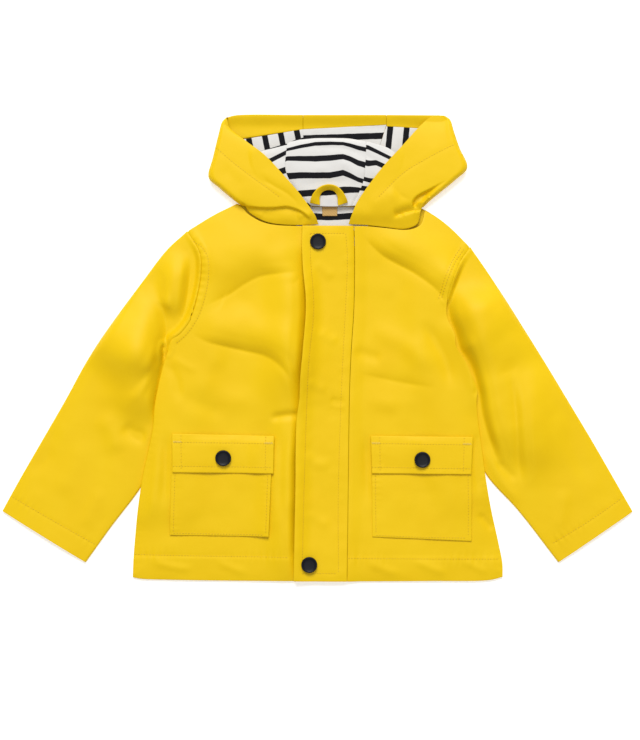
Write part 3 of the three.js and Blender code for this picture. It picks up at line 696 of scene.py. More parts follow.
sleeveSet = dict(rest=1.0, pressed=0.9, puff=2.3, run=15, steps=(66, 30), length=340, dipRun=6.0, tuck=1.8,
                 seamTop=4.3, seamDip=0.7, rollPower=1.35, underRun=14)
sleeveTables = {
    "right_sleeve": dict(
        outer=[(186.6, 230.9), (166, 250), (143, 280), (114, 320), (87, 360), (65, 400), (42, 440),
               (19, 480), (2, 511)],
        inner=[(166.6, 350.3), (173, 372), (174, 405), (163, 450), (139, 490), (111, 527), (85.5, 562.5)],
        armhole=armholeRight, inset=-0.35, seed=21, hemLine=[(12.5, 497), (54, 521), (96, 545)],
        folds=[
            ([(122, 424), (134, 434), (148, 438)], 7.0, -2.2),
            ([(98, 414), (112, 432), (118, 456)], 9.0, 1.4),
            ([(160, 364), (160.3, 350), (163, 343), (166, 347), (167, 356)], 2.2, 2.4),
            ([(163.5, 342), (164, 352), (164, 362)], 1.8, -2.2),
            ([(84, 438), (74, 470), (56, 498)], 10.0, 0.8),
            ([(128, 300), (104, 346), (84, 388)], 9.0, 0.8),
            ([(60, 424), (46, 452), (30, 478)], 7.0, -0.7),
            ([(104, 486), (92, 508), (84, 530)], 7.0, 0.7),
        ],
        rolls=[
            ([(192, 250), (190.5, 268), (189, 285), (187, 300), (184, 313), (178, 326)], 9.0, 13, 14, 12, -1),
            ([(122, 402), (136, 388), (149, 374), (159, 357), (165, 340), (172, 322)], 9.5, 26, 26, 60, 1),
            ([(158, 280), (160, 296), (164, 312), (166, 326), (166, 342), (164, 360), (159, 384)],
             9.0, 20, 16, 34, -1),
            ([(168, 340), (163, 364), (159, 384), (156.5, 402), (155, 428)], 10.0, 15, 12, 26, -1),
        ]),
    "left_sleeve": dict(
        outer=[(470.7, 246.5), (487, 270), (500, 290), (519, 320), (544, 360), (568, 400), (592, 440),
               (615, 480), (633, 511.5)],
        inner=[(456.3, 358.4), (460, 380), (465, 408), (472, 440), (486, 474), (519.5, 512), (558.5, 562.5)],
        armhole=armholeLeft, inset=0.35, seed=22, hemLine=[(553, 543), (588, 521.5), (621.5, 498.5)],
        folds=[
            ([(527, 396), (531, 430), (532, 460), (535, 490)], 5.0, 0.8),
            ([(528, 366), (536, 400), (541, 440), (540, 480)], 8.0, 1.0),
            ([(496, 460), (506, 470), (518, 482)], 4.0, -1.0),
            ([(484, 444), (500, 478), (524, 508)], 5.0, 0.9),
            ([(500, 318), (520, 350), (548, 396)], 9.0, 0.8),
            ([(560, 424), (574, 452), (592, 486)], 8.0, -0.8),
            ([(566, 486), (562, 512), (556, 536)], 7.0, 0.7),
        ],
        rolls=[
            ([(445, 280), (447, 300), (450, 318), (456, 334), (460, 348), (469, 363), (477, 384)],
             15.5, 24, 18, 40, 1),
            ([(464, 344), (473, 370), (479, 392), (482, 412), (487, 432), (494, 452), (503, 478)],
             10.5, 14, 11, 40, 1),
            ([(507, 366), (513, 396), (516, 430), (518, 460), (523, 494)], 6.0, 12, 11, 40, 1),
        ]),
}


def turnedOver(place, side):  # where the bottom layer lies the wrong way round, so that its wall goes down
    across, along = np.gradient(place, axis=1), np.gradient(place, axis=0)
    facing = (across[..., 0] * along[..., 1] - across[..., 1] * along[..., 0]) * side
    wrong = facing * np.sign(np.median(facing)) <= 0
    for axis in (0, 1):
        for move in (-2, -1, 1, 2):
            wrong = wrong | np.roll(wrong, move, axis)
    return wrong & (side < 0)


def sleeveGrid(plan, armhole, inset, tuckRows):  # places round the tube: the top layer, then the bottom one
    upper, lower = (stepCount(n, 8) for n in sleeveSet["steps"])
    along = int(sleeveSet["length"] / meshStep)
    turn = np.concatenate([np.linspace(0, 1, upper, endpoint=False), np.linspace(1, 2, lower + 1)])
    share = np.where(turn <= 1, turn, 2 - turn)
    u = 0.45 * share + 0.55 * (1 - np.cos(np.pi * share)) / 2  # closer together at the tube's edges
    side = np.where(turn <= 1, 1.0, -1.0)
    u, v = np.meshgrid(u, np.concatenate([tuckRows, np.linspace(0, 1, along + 1)]))
    side = np.broadcast_to(side, u.shape)
    tucked = np.clip(-v, 0, 2) / 2 * (side > 0) * smoothStep(0, 0.1, u) * smoothStep(0.0, 0.1, 1 - u)
    v = np.maximum(v, 0)
    line = edgeOf(armhole)
    way = line(np.minimum(1, u + 0.02)) - line(np.maximum(0, u - 0.02))
    inwards = np.dstack([way[..., 1], -way[..., 0]]) * -np.sign(inset)
    inwards /= np.linalg.norm(inwards, axis=-1)[..., None]
    place = plan(u, v) + inwards * (tucked * sleeveSet["tuck"])[..., None]
    return place, u, v, side, tucked, upper


# seamTop gives the sleeve's height along the armhole; without it one height stands in, and no tuck is made
def sleeveShape(outer, inner, armhole, inset, seed, hemLine, folds, rolls, seamTop=None):
    plan = panelPlan(edgeOf(armhole), edgeOf([outer[-1], inner[-1]]), edgeOf(outer), edgeOf(inner))
    lift = liftFrom([outer, inner], sleeveSet["puff"], sleeveSet["run"])
    wrinkles, swells = foldField(folds), rollField(rolls, power=sleeveSet["rollPower"])
    pucker = puckerField([hemLine, armhole], height=0.28)
    groove = grooveField([hemLine])
    uneven = softNoise(seed, size=46, height=0.4)
    place, u, v, side, tucked, upper = sleeveGrid(plan, armhole, inset, [-2, -1] if seamTop else [])
    x, y = place[..., 0], place[..., 1]
    width = np.linalg.norm(plan(np.zeros_like(v), v) - plan(np.ones_like(v), v), axis=-1)
    toEdge = width * np.minimum(u, 1 - u)
    small = (uneven(x, y) + pucker(x, y)) * smoothStep(2, 12, toEdge)
    free = sleeveSet["rest"] + np.maximum(0, lift(x, y) + wrinkles(x, y) + swells(x, y) + small)
    under = smoothStep(-1, 6, signedInside(x, y))
    height = 2 * coatCloth + free * (1 - under) + sleeveSet["pressed"] * under
    half = height / 2
    roll = np.sqrt(1 - (1 - np.minimum(1, toEdge / half)) ** 2)  # round at both edges of the tube
    z = half + side * half * roll + np.where(side > 0, groove(x, y), 0)
    away = toLines([armhole], x, y) * (tucked == 0)
    drop = 1 - smoothStep(0, sleeveSet["dipRun"], away)
    low = seamTop(x, y) if seamTop else sleeveSet["seamTop"]
    low = low + sleeveSet["seamDip"] * (1 - np.exp(-away / 1.5))
    low = 2 * coatCloth + (low - 2 * coatCloth) * roll
    z = np.where(side > 0, z + drop * (low - z), z) - (coatCloth + seamGap) * np.minimum(1, 2 * tucked)
    z = np.where(turnedOver(place, side), np.maximum(z, coatCloth + seamGap), z)
    return np.dstack([x, y, z]), np.dstack([u * 120, v * sleeveSet["length"]]), upper


def addSleeve(name, table, seamTop):
    points, mark, upper = sleeveShape(**table, seamTop=seamTop)
    piece = gridObject(name, points, mark, closeRing=True)
    thicken(piece, coatCloth)
    finishPiece(piece, name, coatFinish)
    pieces[name] = dict(top=points[:, :upper + 1])
    tell(piece, points)


def signedInside(x, y):  # millimetres inside the body's outline, below zero outside it
    away = toLines([sideRight, armholeRight, armholeLeft[:4], bulgeLeft, sideLeft], x, y, 6)
    return np.where(onBody(x, y), away, -away)


sleevesLaid = []
for table in sleeveTables.values():
    points, _, upper = sleeveShape(**table)
    sleevesLaid.append(dict(top=points[:, :upper + 1], inside=onBody))

# Back and fronts

bodyCloth = dict(puff=2.3, run=15, seamBand=0.5, bandEdge=(6, 9.5), seamDip=0.9, dipRun=1.5,
                 hemBand=0.45, hemTurn=(555, 558.5), meetingRun=8)
overSleeves = restOn(sleevesLaid, 2, 5, 0)


def onFloor(x, y):
    return np.zeros(x.shape)


def backRest(x, y):
    under = overSleeves(x, y)
    return under + seamGap * smoothStep(0, 1, under)


cloth("back_panel", backPlan, (340, 375), backRest, onFloor, coatCloth, coatFinish,
      step=2.2)

neckLiningPlan = straightPlan([(296, 206.4), (368, 206.8), (368, 246), (296, 246)])
cloth("back_neck_lining", neckLiningPlan, (72, 39), lambda x, y: np.full(x.shape, coatCloth + seamGap),
      onFloor,
      jerseyCloth, jerseyFinish,
      uv=lambda x, y: (x, y - 216 + 1.2 * np.sin(x / 14)))

armStitchRight = [(193.5, 241), (203.5, 249), (208.6, 260), (209, 275), (206, 294), (199, 316), (188, 333),
                  (176, 344)]
armStitchLeft = [(464, 249), (455, 262), (447, 280), (441, 299)]
armStitchLeft2 = [(461, 247), (452, 261), (444, 279), (438, 300)]
hemStitchRight = [(134.8, 554.3), (200, 555.8), (291, 557)]
hemStitchLeft = [(348, 558), (420, 558.8), (500, 559)]
rightFrontFolds = foldField([
    ([(268, 419), (282, 416), (292, 415), (304, 416)], 4.0, -1.6),
    ([(167, 428), (166, 462), (164, 510)], 4.5, -0.9),
    ([(159, 440), (156, 480), (150, 524)], 6.0, 0.8),
    ([(283, 430), (281, 456), (280, 520)], 4.0, -0.9),
    ([(190, 372), (206, 384), (236, 398), (262, 402)], 11.0, 0.8),
    ([(178, 392), (200, 406), (230, 416)], 8.0, -0.7),
    ([(165, 360), (176, 378), (180, 404)], 5.0, -0.8),
    ([(172, 356), (186, 366), (200, 372)], 4.0, 0.35),
    ([(150, 560), (170, 566), (196, 570)], 4.0, 0.6),
    ([(214, 560), (232, 568), (250, 574)], 4.0, 0.5),
], 1.5)
leftFrontFolds = foldField([
    ([(420, 318), (434, 340), (446, 364), (452, 392)], 7.0, -1.5),
    ([(400, 380), (418, 385), (440, 390)], 7.0, -0.3),
    ([(352, 350), (366, 355), (384, 360)], 6.0, -0.9),
    ([(352, 377), (380, 380), (420, 385)], 7.0, -0.5),
    ([(366, 328), (390, 336), (414, 352), (436, 372)], 10.0, 1.2),
    ([(362, 398), (392, 404), (424, 402)], 9.0, 0.8),
    ([(446, 312), (456, 336), (466, 360), (474, 386), (474, 410)], 8.0, 1.8),
    ([(365, 430), (366, 460), (368, 510)], 4.0, -0.8),
    ([(476, 428), (476, 456), (478, 500)], 4.5, -0.9),
    ([(478, 512), (486, 522), (494, 531)], 3.5, -0.9),
    ([(472, 376), (476, 386), (474, 398)], 3.0, -0.7),
    ([(366, 562), (384, 569), (402, 576)], 4.5, 0.6),
    ([(412, 560), (432, 568), (450, 575)], 4.5, 0.6),
    ([(462, 560), (476, 567), (490, 574)], 4.0, 0.5),
], 1.5)


def frontLift(meeting, folds, rolls, seams, stitches, seed, joins=None):
    lift = liftFrom(meeting, bodyCloth["puff"], bodyCloth["run"])
    pucker = puckerField(seams, height=0.34, seed=seed)
    groove = grooveField(stitches)
    uneven = softNoise(seed, size=52, height=0.5)
    toMeeting = liftFrom(meeting, 1, bodyCloth["meetingRun"])
    armLine = smoothLine(seams[0], fieldSpans)

    def at(x, y):
        toArmhole = nearLine(armLine, x, y)[0]
        band = bodyCloth["seamBand"] * (1 - smoothStep(*bodyCloth["bandEdge"], toArmhole))
        dip = bodyCloth["seamDip"] * np.exp(-toArmhole / bodyCloth["dipRun"])
        turned = bodyCloth["hemBand"] * smoothStep(*bodyCloth["hemTurn"], y)
        soft = toMeeting(x, y)
        waves = folds(x, y) + rolls(x, y) + (uneven(x, y) + pucker(x, y)) * soft
        if joins:
            fromJoin = smoothStep(0, joins["run"], nearLine(joins["line"], x, y)[0])
            waves = waves + joins["rise"] * (1 - fromJoin)
        return np.maximum(0, lift(x, y) + waves + (band - dip) + turned + groove(x, y))
    return at


overBack = restOn([pieces["back_panel"], pieces["back_neck_lining"]], 1, 4)
hiddenEdge = [edgeOf([(345, top), (345, bottom)]) for top, bottom in ((226.8, 252), (252, 352), (352, 581.6))]
rightFrontPlan = panelPlan(edgeOf(neckRight), edgeOf(hem[:4] + [(345, 581.6)]), bodySide(0.02),
                           chain(*zip(bodySteps.values(), hiddenEdge)))
rightFrontLift = frontLift([shoulderRight, sideRight, hem[:5]], rightFrontFolds, rightFrontRolls,
                           [armholeRight, hemStitchRight, sideRight], [armStitchRight, hemStitchRight], 31)
cloth("right_front", rightFrontPlan, (190, 372), overBack, rightFrontLift, coatCloth, coatFinish)
seamParts = [edgeOf(flapSeam, 0.03, part) for part in ((0, 0.07), (0.07, 0.35), (0.35, 1))]
leftFrontPlan = panelPlan(edgeOf(neckLeft), edgeOf([(347.2, 581.6)] + hem[5:]),
                          chain(*zip(bodySteps.values(), seamParts)), bodySideLeft(0.02, 0.0))
leftFrontLift = frontLift([shoulderLeft, sideLeft, [(347, 581.6)] + hem[5:]], leftFrontFolds, leftFrontRolls,
                          [armholeLeft[:4], hemStitchLeft, sideLeft],
                          [armStitchLeft, armStitchLeft2, hemStitchLeft], 32,
                          dict(line=smoothLine(flapSeam, fieldSpans), rise=1.9, run=16))
cloth("left_front", leftFrontPlan, (142, 368), overBack, leftFrontLift, coatCloth, coatFinish)


# Height of a front's edge beside a sleeve; the sleeve goes under the front below lowFrom
def frontEdge(front, column, lowFrom):
    tops = pieces[front]["top"][:, column]
    total = sum(bodySteps.values())
    ends = bodySteps["shoulder"], bodySteps["shoulder"] + bodySteps["armhole"]
    first, last = (int(n / total * len(tops)) for n in ends)
    tops = tops[first:last]
    run = np.concatenate([[0], np.cumsum(np.linalg.norm(np.diff(tops[:, :2], axis=0), axis=1))])

    def at(x, y):
        share = nearLine(tops[:, :2], x, y)[2]
        goesUnder = smoothStep(lowFrom, lowFrom + sleeveSet["underRun"], y)
        beside = np.interp(share, run / run[-1], tops[:, 2])
        return beside * (1 - goesUnder) + sleeveSet["seamTop"] * goesUnder
    return at


addSleeve("right_sleeve", sleeveTables["right_sleeve"], frontEdge("right_front", 0, 334))
addSleeve("left_sleeve", sleeveTables["left_sleeve"], frontEdge("left_front", -1, 296))

# Storm flap

flapPlan = panelPlan(edgeOf([flapEdge[0], flapSeam[0]]), edgeOf([flapEdge[-1], flapSeam[-1]]),
                     edgeOf(flapEdge), edgeOf(flapSeam))
flapRowLeft = [(310.2, 233.6), (310.4, 256), (313.5, 297), (313.5, 316), (309, 360), (306.5, 411),
               (305.4, 444), (304, 493), (302.7, 547), (302, 573)]
flapRowRight = [(345.6, 233.6), (347.3, 258), (345.4, 309), (343, 354), (341, 399), (340.3, 420),
                (338.2, 493), (338.4, 573)]
flapRowTop = [(310.2, 233.6), (345.6, 233.6)]
flapRowBottom = [(302, 573), (338.4, 573)]
flapFolds = foldField([
    ([(312, 262), (322, 268), (334, 280)], 5.0, 0.5),
    ([(318, 330), (328, 338), (340, 342)], 5.0, 0.5),
    ([(330, 398), (338, 402), (346, 400)], 3.0, -0.6),
    ([(328, 410), (337, 413), (346, 411)], 3.0, -0.5),
    ([(308, 378), (316, 386), (328, 390)], 5.0, 0.4),
    ([(304, 452), (316, 462), (332, 466)], 6.0, 0.5),
    ([(306, 510), (318, 520), (334, 524)], 6.0, 0.4),
], 1.7)
flapPucker = puckerField([flapRowLeft, flapRowRight, flapEdge], pitch=13, run=4, height=0.09, seed=8)
flapGroove = grooveField([flapRowLeft, flapRowRight, flapRowTop, flapRowBottom])
flapUneven = softNoise(seed=41, size=30, height=0.28)
cloth("storm_flap", flapPlan, (52, 356), restOn([pieces["right_front"]], 1, 3),
      summed(0.45, flapFolds, flapPucker, flapGroove, flapUneven), doubledCloth, coatFinish,
      edge=0.4)

# Pockets with their flaps

pocketTables = {
    "right_pocket": dict(
        front="right_front",
        bag=[(172.4, 446), (272.5, 447), (268.6, 536.4), (170, 534.8)],
        flap=[(172.4, 433.3), (274.2, 435.5), (273.6, 473.3), (173, 472)],
        bagRows=[[(175.6, 474), (174.6, 500), (173.6, 532.6)],
                 [(173.6, 532.6), (220, 533.8), (265.8, 534.4)], [(267.8, 475), (267, 500), (265.8, 534.4)]],
        tacks=[[(173.8, 441.4), (182.2, 441.6)], [(264.6, 442.7), (273.2, 442.9)]],
        flapRows=[[(181.5, 434.5), (182, 471)], [(265.9, 436), (265.6, 472)], [(173, 441.8), (273.8, 443.4)],
                  [(173.4, 465.6), (273.4, 467)]]),
    "left_pocket": dict(
        front="left_front",
        bag=[(371.5, 446), (471.5, 447), (471.4, 541), (372.2, 536.6)],
        flap=[(370.6, 435.5), (472.4, 436.4), (470.6, 474), (371.8, 473.3)],
        bagRows=[[(375.4, 475), (375.6, 505), (376, 535)], [(376, 535), (422, 537), (468, 537.6)],
                 [(467.6, 475), (468, 505), (468, 537.6)]],
        tacks=[[(371.6, 442.9), (381, 443.1)], [(462.4, 443.6), (471, 443.8)]],
        flapRows=[[(379.6, 436.5), (380.2, 472.5)], [(463.6, 437), (462.8, 473)],
                  [(371, 443.2), (472, 444.4)], [(371.6, 467), (471, 468.2)]]),
}
stitchSet = dict(long=1.9, wide=0.8, tall=0.5, spacing=2.9, tackSpacing=1.2, tackWide=2.8)
stitchRows = []  # (piece, line, spacing, how wide a bar tack goes to and fro across the line, or 0)


def sewOn(name, lines):
    stitchRows.extend((name, line, stitchSet["spacing"], 0) for line in lines)


def addPocket(name, table, seed):
    front, bag, bagRows, flapRows = (table[key] for key in ("front", "bag", "bagRows", "flapRows"))
    bagPucker = puckerField(bagRows, pitch=6, run=5, height=0.22, seed=seed)
    bagUneven = softNoise(50 + seed, size=34, height=0.2)
    bagLift = liftFrom([[bag[j], bag[k]] for j, k in ((0, 3), (3, 2), (2, 1))], 0.5, 12)
    cloth(name, straightPlan(bag), (100, 90), restOn([pieces[front]], 1, 2),
          summed(0, bagLift, bagPucker, bagUneven, grooveField(bagRows)), pocketCloth, coatFinish)
    flapName = name + "_flap"
    lidPucker = puckerField(flapRows, pitch=7, run=4, height=0.2, seed=seed + 2)
    lidUneven = softNoise(60 + seed, size=24, height=0.14)
    cloth(flapName, straightPlan(table["flap"]), (101, 38), restOn([pieces[front], pieces[name]], 1, 2),
          summed(0.15, lidPucker, lidUneven, grooveField(flapRows)), lidCloth, coatFinish,
          edge=0.5)
    sewOn(name, bagRows)
    sewOn(flapName, flapRows)
    tackSize = stitchSet["tackSpacing"], stitchSet["tackWide"]
    stitchRows.extend((flapName, line, *tackSize) for line in table["tacks"])


for name, table in pocketTables.items():
    addPocket(name, table, len(name))

# Hood: the floor layer of each side, its rolled outer fold, and the layer that comes back to the face edge

hoodTables = {
    "hood_right_side": dict(
        neck=[(242.6, 206.4), (246, 211.5), (252, 215.8), (262, 220.8), (275, 223.8), (302, 225.2),
              (318.5, 224.6)],
        rows=[  # centre seam x y, outer fold x y, face edge x y, height at the fold and at the face edge
            (303.0, 115.4, 225.5, 117.6, 227.0, 118.6, 2.6, 2.6),
            (303.1, 119.0, 221.6, 122.5, 230.5, 129.0, 5.0, 5.0),
            (303.3, 127.0, 218.8, 133.0, 246.0, 141.5, 8.0, 8.4),
            (304.0, 142.0, 212.8, 158.0, 266.0, 157.0, 10.4, 11.0),
            (305.0, 158.0, 208.5, 177.0, 285.5, 178.0, 11.8, 12.2),
            (307.0, 174.0, 219.0, 188.0, 299.0, 193.5, 12.2, 12.4),
            (309.0, 190.0, 231.5, 198.5, 309.5, 207.5, 11.8, 12.0),
            (310.0, 199.0, 238.5, 203.8, 315.0, 216.0, 10.0, 11.0),
            (311.0, 206.8, 242.6, 206.0, 318.5, 224.6, 5.0, 6.0)],
        faceRow=[(216, 148), (232, 162), (246, 173), (258, 182), (268, 189), (280, 198)],
        folds=[
            ([(222, 166), (232, 178), (246, 190)], 6.0, -0.5),
            ([(250, 212), (256, 214), (264, 217)], 4.0, 1.2),
            ([(296, 217), (304, 217), (311, 220)], 5.0, 1.6),
            ([(240, 206), (245, 209), (250, 213)], 2.2, -3.4),
        ],
        rolls=[
            ([(244, 170), (262, 180), (276, 188), (288, 195), (304, 211)], 1.4, 12, 12, 10, 1),
        ],
        steps=[
            ([(240, 205), (248, 206.5), (262, 208), (275, 208), (285, 207), (292, 208), (302, 212),
              (309, 218), (312, 222)], 3.6, 9, -1),
        ]),
    "hood_left_side": dict(
        neck=[(423.6, 209.8), (421.8, 219), (419.5, 223.8), (413.5, 227.2), (405, 229), (385, 227),
              (364, 225), (348.5, 224.6)],
        rows=[
            (386.5, 115.4, 446.0, 116.0, 432.5, 115.8, 2.6, 2.6),
            (386.2, 119.0, 450.8, 120.5, 426.5, 120.0, 5.0, 5.0),
            (385.6, 127.0, 454.0, 131.5, 416.5, 130.0, 8.0, 8.4),
            (381.5, 142.0, 459.5, 148.0, 402.0, 146.5, 10.4, 11.0),
            (375.5, 158.0, 467.2, 167.5, 384.5, 165.5, 11.8, 12.2),
            (368.5, 174.0, 455.0, 180.5, 369.5, 184.5, 12.2, 12.4),
            (360.5, 190.0, 441.0, 192.0, 357.5, 202.0, 11.8, 12.0),
            (356.0, 199.0, 430.5, 200.5, 352.0, 214.5, 10.0, 11.0),
            (352.0, 206.8, 423.6, 207.0, 348.5, 224.6, 5.0, 6.0)],
        faceRow=[(453, 145.5), (437, 153.5), (420, 163), (408, 170), (397, 179), (386, 190), (376, 200)],
        folds=[
            ([(400, 192), (384, 200), (366, 207)], 7.0, 0.8),
            ([(416, 209), (404, 214), (388, 217)], 4.0, -0.8),
        ],
        rolls=[
            ([(392, 184), (400, 196), (412, 202)], 1.2, 12, 12, 12, -1),
        ],
        steps=[
            ([(474, 164), (466, 168.5), (452, 177), (440, 184), (427, 191), (419, 195), (414, 199),
              (412, 204), (413.5, 208), (420, 210)],
             5.0, 8, 1),
            ([(428, 211), (419, 212.5), (412, 213), (405, 215), (394, 219)], 2.6, 5, -1),
        ]),
}
hoodSteps = dict(floor=22, roll=10, top=58, along=80)
rimSet = dict(rise=3.6, start=114, end=128)
neckFrom = 0.62  # from this share of the way on, the face layer takes the neck line


def rowsAt(values, share):  # the rows of a table at a share of the way from rim to neck, smoothly
    values = np.array(values, float)
    n = len(values) - 1
    slopes = np.gradient(values, axis=0)
    t = np.clip(share, 0, 1) * n
    k = np.minimum(t.astype(int), n - 1)
    w = (t - k)[..., None]
    a, b, ma, mb = values[k], values[k + 1], slopes[k], slopes[k + 1]
    byFirst, bySecond = 2 * w ** 3 - 3 * w ** 2 + 1, 3 * w ** 2 - 2 * w ** 3
    return byFirst * a + (w ** 3 - 2 * w ** 2 + w) * ma + bySecond * b + (w ** 3 - w ** 2) * mb


rightSeam = [row[:2] for row in hoodTables["hood_right_side"]["rows"]]
leftSeam = [row[:2] for row in hoodTables["hood_left_side"]["rows"]]


def centrePlan(u, v):
    a, b = rowsAt(rightSeam, v) + [seamGap, 0], rowsAt(leftSeam, v) - [seamGap, 0]
    return a + (b - a) * u[..., None]


def rimRise(x, y):  # the hood's rim stands a little off the table
    return rimSet["rise"] * (1 - smoothStep(rimSet["start"], rimSet["end"], y))


def onHoodFloor(x, y):
    return coatCloth + seamGap + rimRise(x, y)


cloth("hood_centre", centrePlan, (82, 92), onFloor, rimRise, coatCloth, coatFinish,
      step=1.6)
floorX, floorY = np.meshgrid(np.linspace(205, 470, 60), np.linspace(112, 207, 30))
floorTop = dict(top=np.dstack([floorX, floorY, np.full(floorX.shape, coatCloth)]))

facingTables = {
    "hood_facing_right": ([(227, 117.8), (236, 115.6), (302.9, 115.2)], [(224, 141), (302.9, 129.2)],
                          (0.079, 0.026, 0.00142)),
    "hood_facing_centre": ([(303.1, 115.2), (386.3, 115.2)], [(303.1, 129.2), (386.3, 124.8)],
                           (0.083, 0.014, 0.00098)),
    "hood_facing_left": ([(386.5, 115.2), (440, 115.6)], [(386.5, 126.2), (440, 129.4)],
                         (0.054, 0.0145, 0.00066)),
}
facingUneven = softNoise(seed=71, size=22, height=0.12)
for name, (upper, lower, flat) in facingTables.items():
    plan = panelPlan(edgeOf(upper), edgeOf(lower), edgeOf([upper[0], lower[0]]),
                     edgeOf([upper[-1], lower[-1]]))
    cloth(name, plan, (70, 14), onHoodFloor, summed(0.15, facingUneven), coatCloth, coatFinish,
          edge=0.4)


def uprightStripes(x0, slant):
    return lambda x, y: (y, (x - x0 - slant * (y - 136)) * jerseySet["pitch"] / 16.5)


liningTables = {
    "hood_lining_right": ([(232, 141.0), (303, 129.1), (304, 160), (232, 168)], (0.072, 0.033, 0.0022),
                          uprightStripes(265.0, 0.2)),
    "hood_lining_centre": ([(303, 129.1), (386.4, 124.6), (375.2, 160), (304, 160)], (0.084, 0.036, 0.0026),
                           lambda x, y: (x, y - 137.2 + 0.035 * (x - 344))),
    "hood_lining_left": ([(386.4, 126.0), (436, 129.2), (440, 166), (375.2, 160)], (0.065, 0.037, 0.0021),
                         uprightStripes(389.8, -0.1)),
}
liningUneven = softNoise(seed=81, size=18, height=0.22)
for name, (corners, flat, uv) in liningTables.items():
    cloth(name, straightPlan(corners), (70, 34), onHoodFloor, summed(0.3, liningUneven), jerseyCloth,
          jerseyFinish, uv=uv, edge=0.1)

flatLinings = [pieces[name] for name in liningTables]
crownTop = [(256, 161), (276, 152), (300, 145), (340, 144), (372, 147), (397, 160)]
crownRight = [(256, 161), (268, 180), (302, 204.6)]
crownLeft = [(397, 160), (382, 180), (362, 204.6)]
crownPlan = panelPlan(edgeOf(crownTop), edgeOf([(302, 204.6), (331, 205.2), (362, 204.6)]),
                      edgeOf(crownRight), edgeOf(crownLeft))
crownSet = dict(heap=4.8, edge=0.5, low=0.55, roundMm=12)


def crownLift(x, y):
    topAndLeft = np.vstack([smoothLine(crownTop), smoothLine(crownLeft)])
    away = nearLine(topAndLeft, x, y)[0]
    away = np.minimum(away, nearLine(smoothLine(crownRight[::-1]), x, y)[0])
    lower = 1 - crownSet["low"] * smoothStep(175, 206, y)
    rounded = np.sqrt(np.clip(1 - (1 - away / crownSet["roundMm"]).clip(0) ** 2, 0, 1))
    return crownSet["edge"] + crownSet["heap"] * lower * rounded


cloth("hood_crown", crownPlan, (120, 60), restOn([floorTop] + flatLinings, 1, 2), crownLift, coatCloth,
      coatFinish, edge=0.4, step=1.3)

# The stripes of the crown's lining: each row gives one stripe's middle, as y at the columns' x
stripeColumns = [252, 270, 287, 300, 315, 330, 343, 350, 358, 368, 376, 386, 402]
stripeLines = [
    [147, 144, 142, 139, 138, 138, 138, 138, 139, 141, 143, 148, 155],
    [158, 154, 151, 147.5, 144.2, 143.6, 144.2, 146, 148.5, 150.5, 155, 160, 168],
    [172, 168.6, 158.8, 159.2, 159.8, 158.9, 157.6, 159.8, 164, 167, 165.6, 170, 178],
    [186, 182, 177.2, 176.4, 176.4, 176.4, 173.8, 177, 181.4, 184.4, 186, 190, 196],
    [204, 200, 197, 194.4, 193.2, 192.6, 190.4, 189.6, 189.4, 191, 196, 201, 208],
    [222, 218, 215, 213, 213, 213, 213, 213, 213, 214, 216, 220, 226],
]


def crownStripes(x, y):  # (x, y) -> along the stripe, across it
    columns = np.array([np.interp(x, stripeColumns, line) for line in stripeLines])
    number = np.zeros(x.shape)
    for k in range(len(stripeLines) - 1):
        low, high = columns[k], columns[k + 1]
        inside = (y >= low) & (y < high)
        number = np.where(inside, k + (y - low) / (high - low), number)
    number = np.where(y < columns[0], (y - columns[0]) / 18, number)
    number = np.where(y >= columns[-1], len(stripeLines) - 1 + (y - columns[-1]) / 18, number)
    return x, number * jerseySet["pitch"]


crownSeamRight = [(287.2, 144.3), (286, 172), (297.4, 192), (311.2, 206.2)]
crownSeamLeft = [(366, 142), (365.5, 160), (362.5, 184), (351.8, 206.2)]


def crownSeams(x, y):  # the two seams of the crown, pulled down into the cloth
    return np.exp(-(toLines([crownSeamRight, crownSeamLeft], x, y) / 1.3) ** 2)


crownTables = {  # edges, size of the mesh, flat size and area, shift of the stripes
    "crown_lining_right": (dict(
        top=[(252, 158), (262, 152), (277, 147), (287.2, 144.3)],
        bottom=[(300, 206), (304, 206), (311.2, 206.2)],
        left=[(252, 158), (264, 182), (300, 206)], right=crownSeamRight),
        (36, 62), (0.06, 0.062, 0.0014), 6.5),
    "crown_lining_centre": (dict(
        top=[(287.2, 144.3), (298, 139.5), (313, 137), (340, 138), (366, 142)],
        bottom=[(311.2, 206.2), (331, 206.8), (351.8, 206.2)], left=crownSeamRight, right=crownSeamLeft),
        (78, 66), (0.081, 0.07, 0.0046), 0.0),
    "crown_lining_left": (dict(
        top=[(366, 142), (380, 146), (390, 150), (402, 161)], bottom=[(351.8, 206.2), (358, 206), (366, 206)],
        left=crownSeamLeft, right=[(402, 161), (386, 184), (366, 206)]),
        (36, 62), (0.05, 0.064, 0.0014), 2.5),
}
onCrown = restOn([floorTop, pieces["hood_crown"]] + flatLinings, 1, 2)
crownFolds = foldField([
    ([(296, 150), (318, 148), (344, 150), (368, 158), (392, 170)], 3.0, -0.8),
    ([(300, 142), (322, 140), (350, 143), (372, 150)], 3.0, 0.7),
    ([(340, 158), (350, 170), (358, 186)], 5.0, 0.8),
    ([(290, 168), (310, 170), (332, 168)], 6.0, 0.5),
    ([(300, 186), (320, 184), (340, 183), (352, 190)], 4.0, -0.6),
    ([(262, 160), (276, 158), (288, 160)], 3.0, -0.5),
])
crownWaves = summed(0.8, crownFolds, liningUneven, lambda x, y: -0.5 * crownSeams(x, y))
for name, (edges, size, flat, shift) in crownTables.items():
    plan = panelPlan(**{side: edgeOf(line) for side, line in edges.items()})
    cloth(name, plan, size, onCrown, crownWaves, jerseyCloth, jerseyFinish,
          uv=lambda x, y: crownStripes(x, y + shift), step=0.7, edge=0.1)


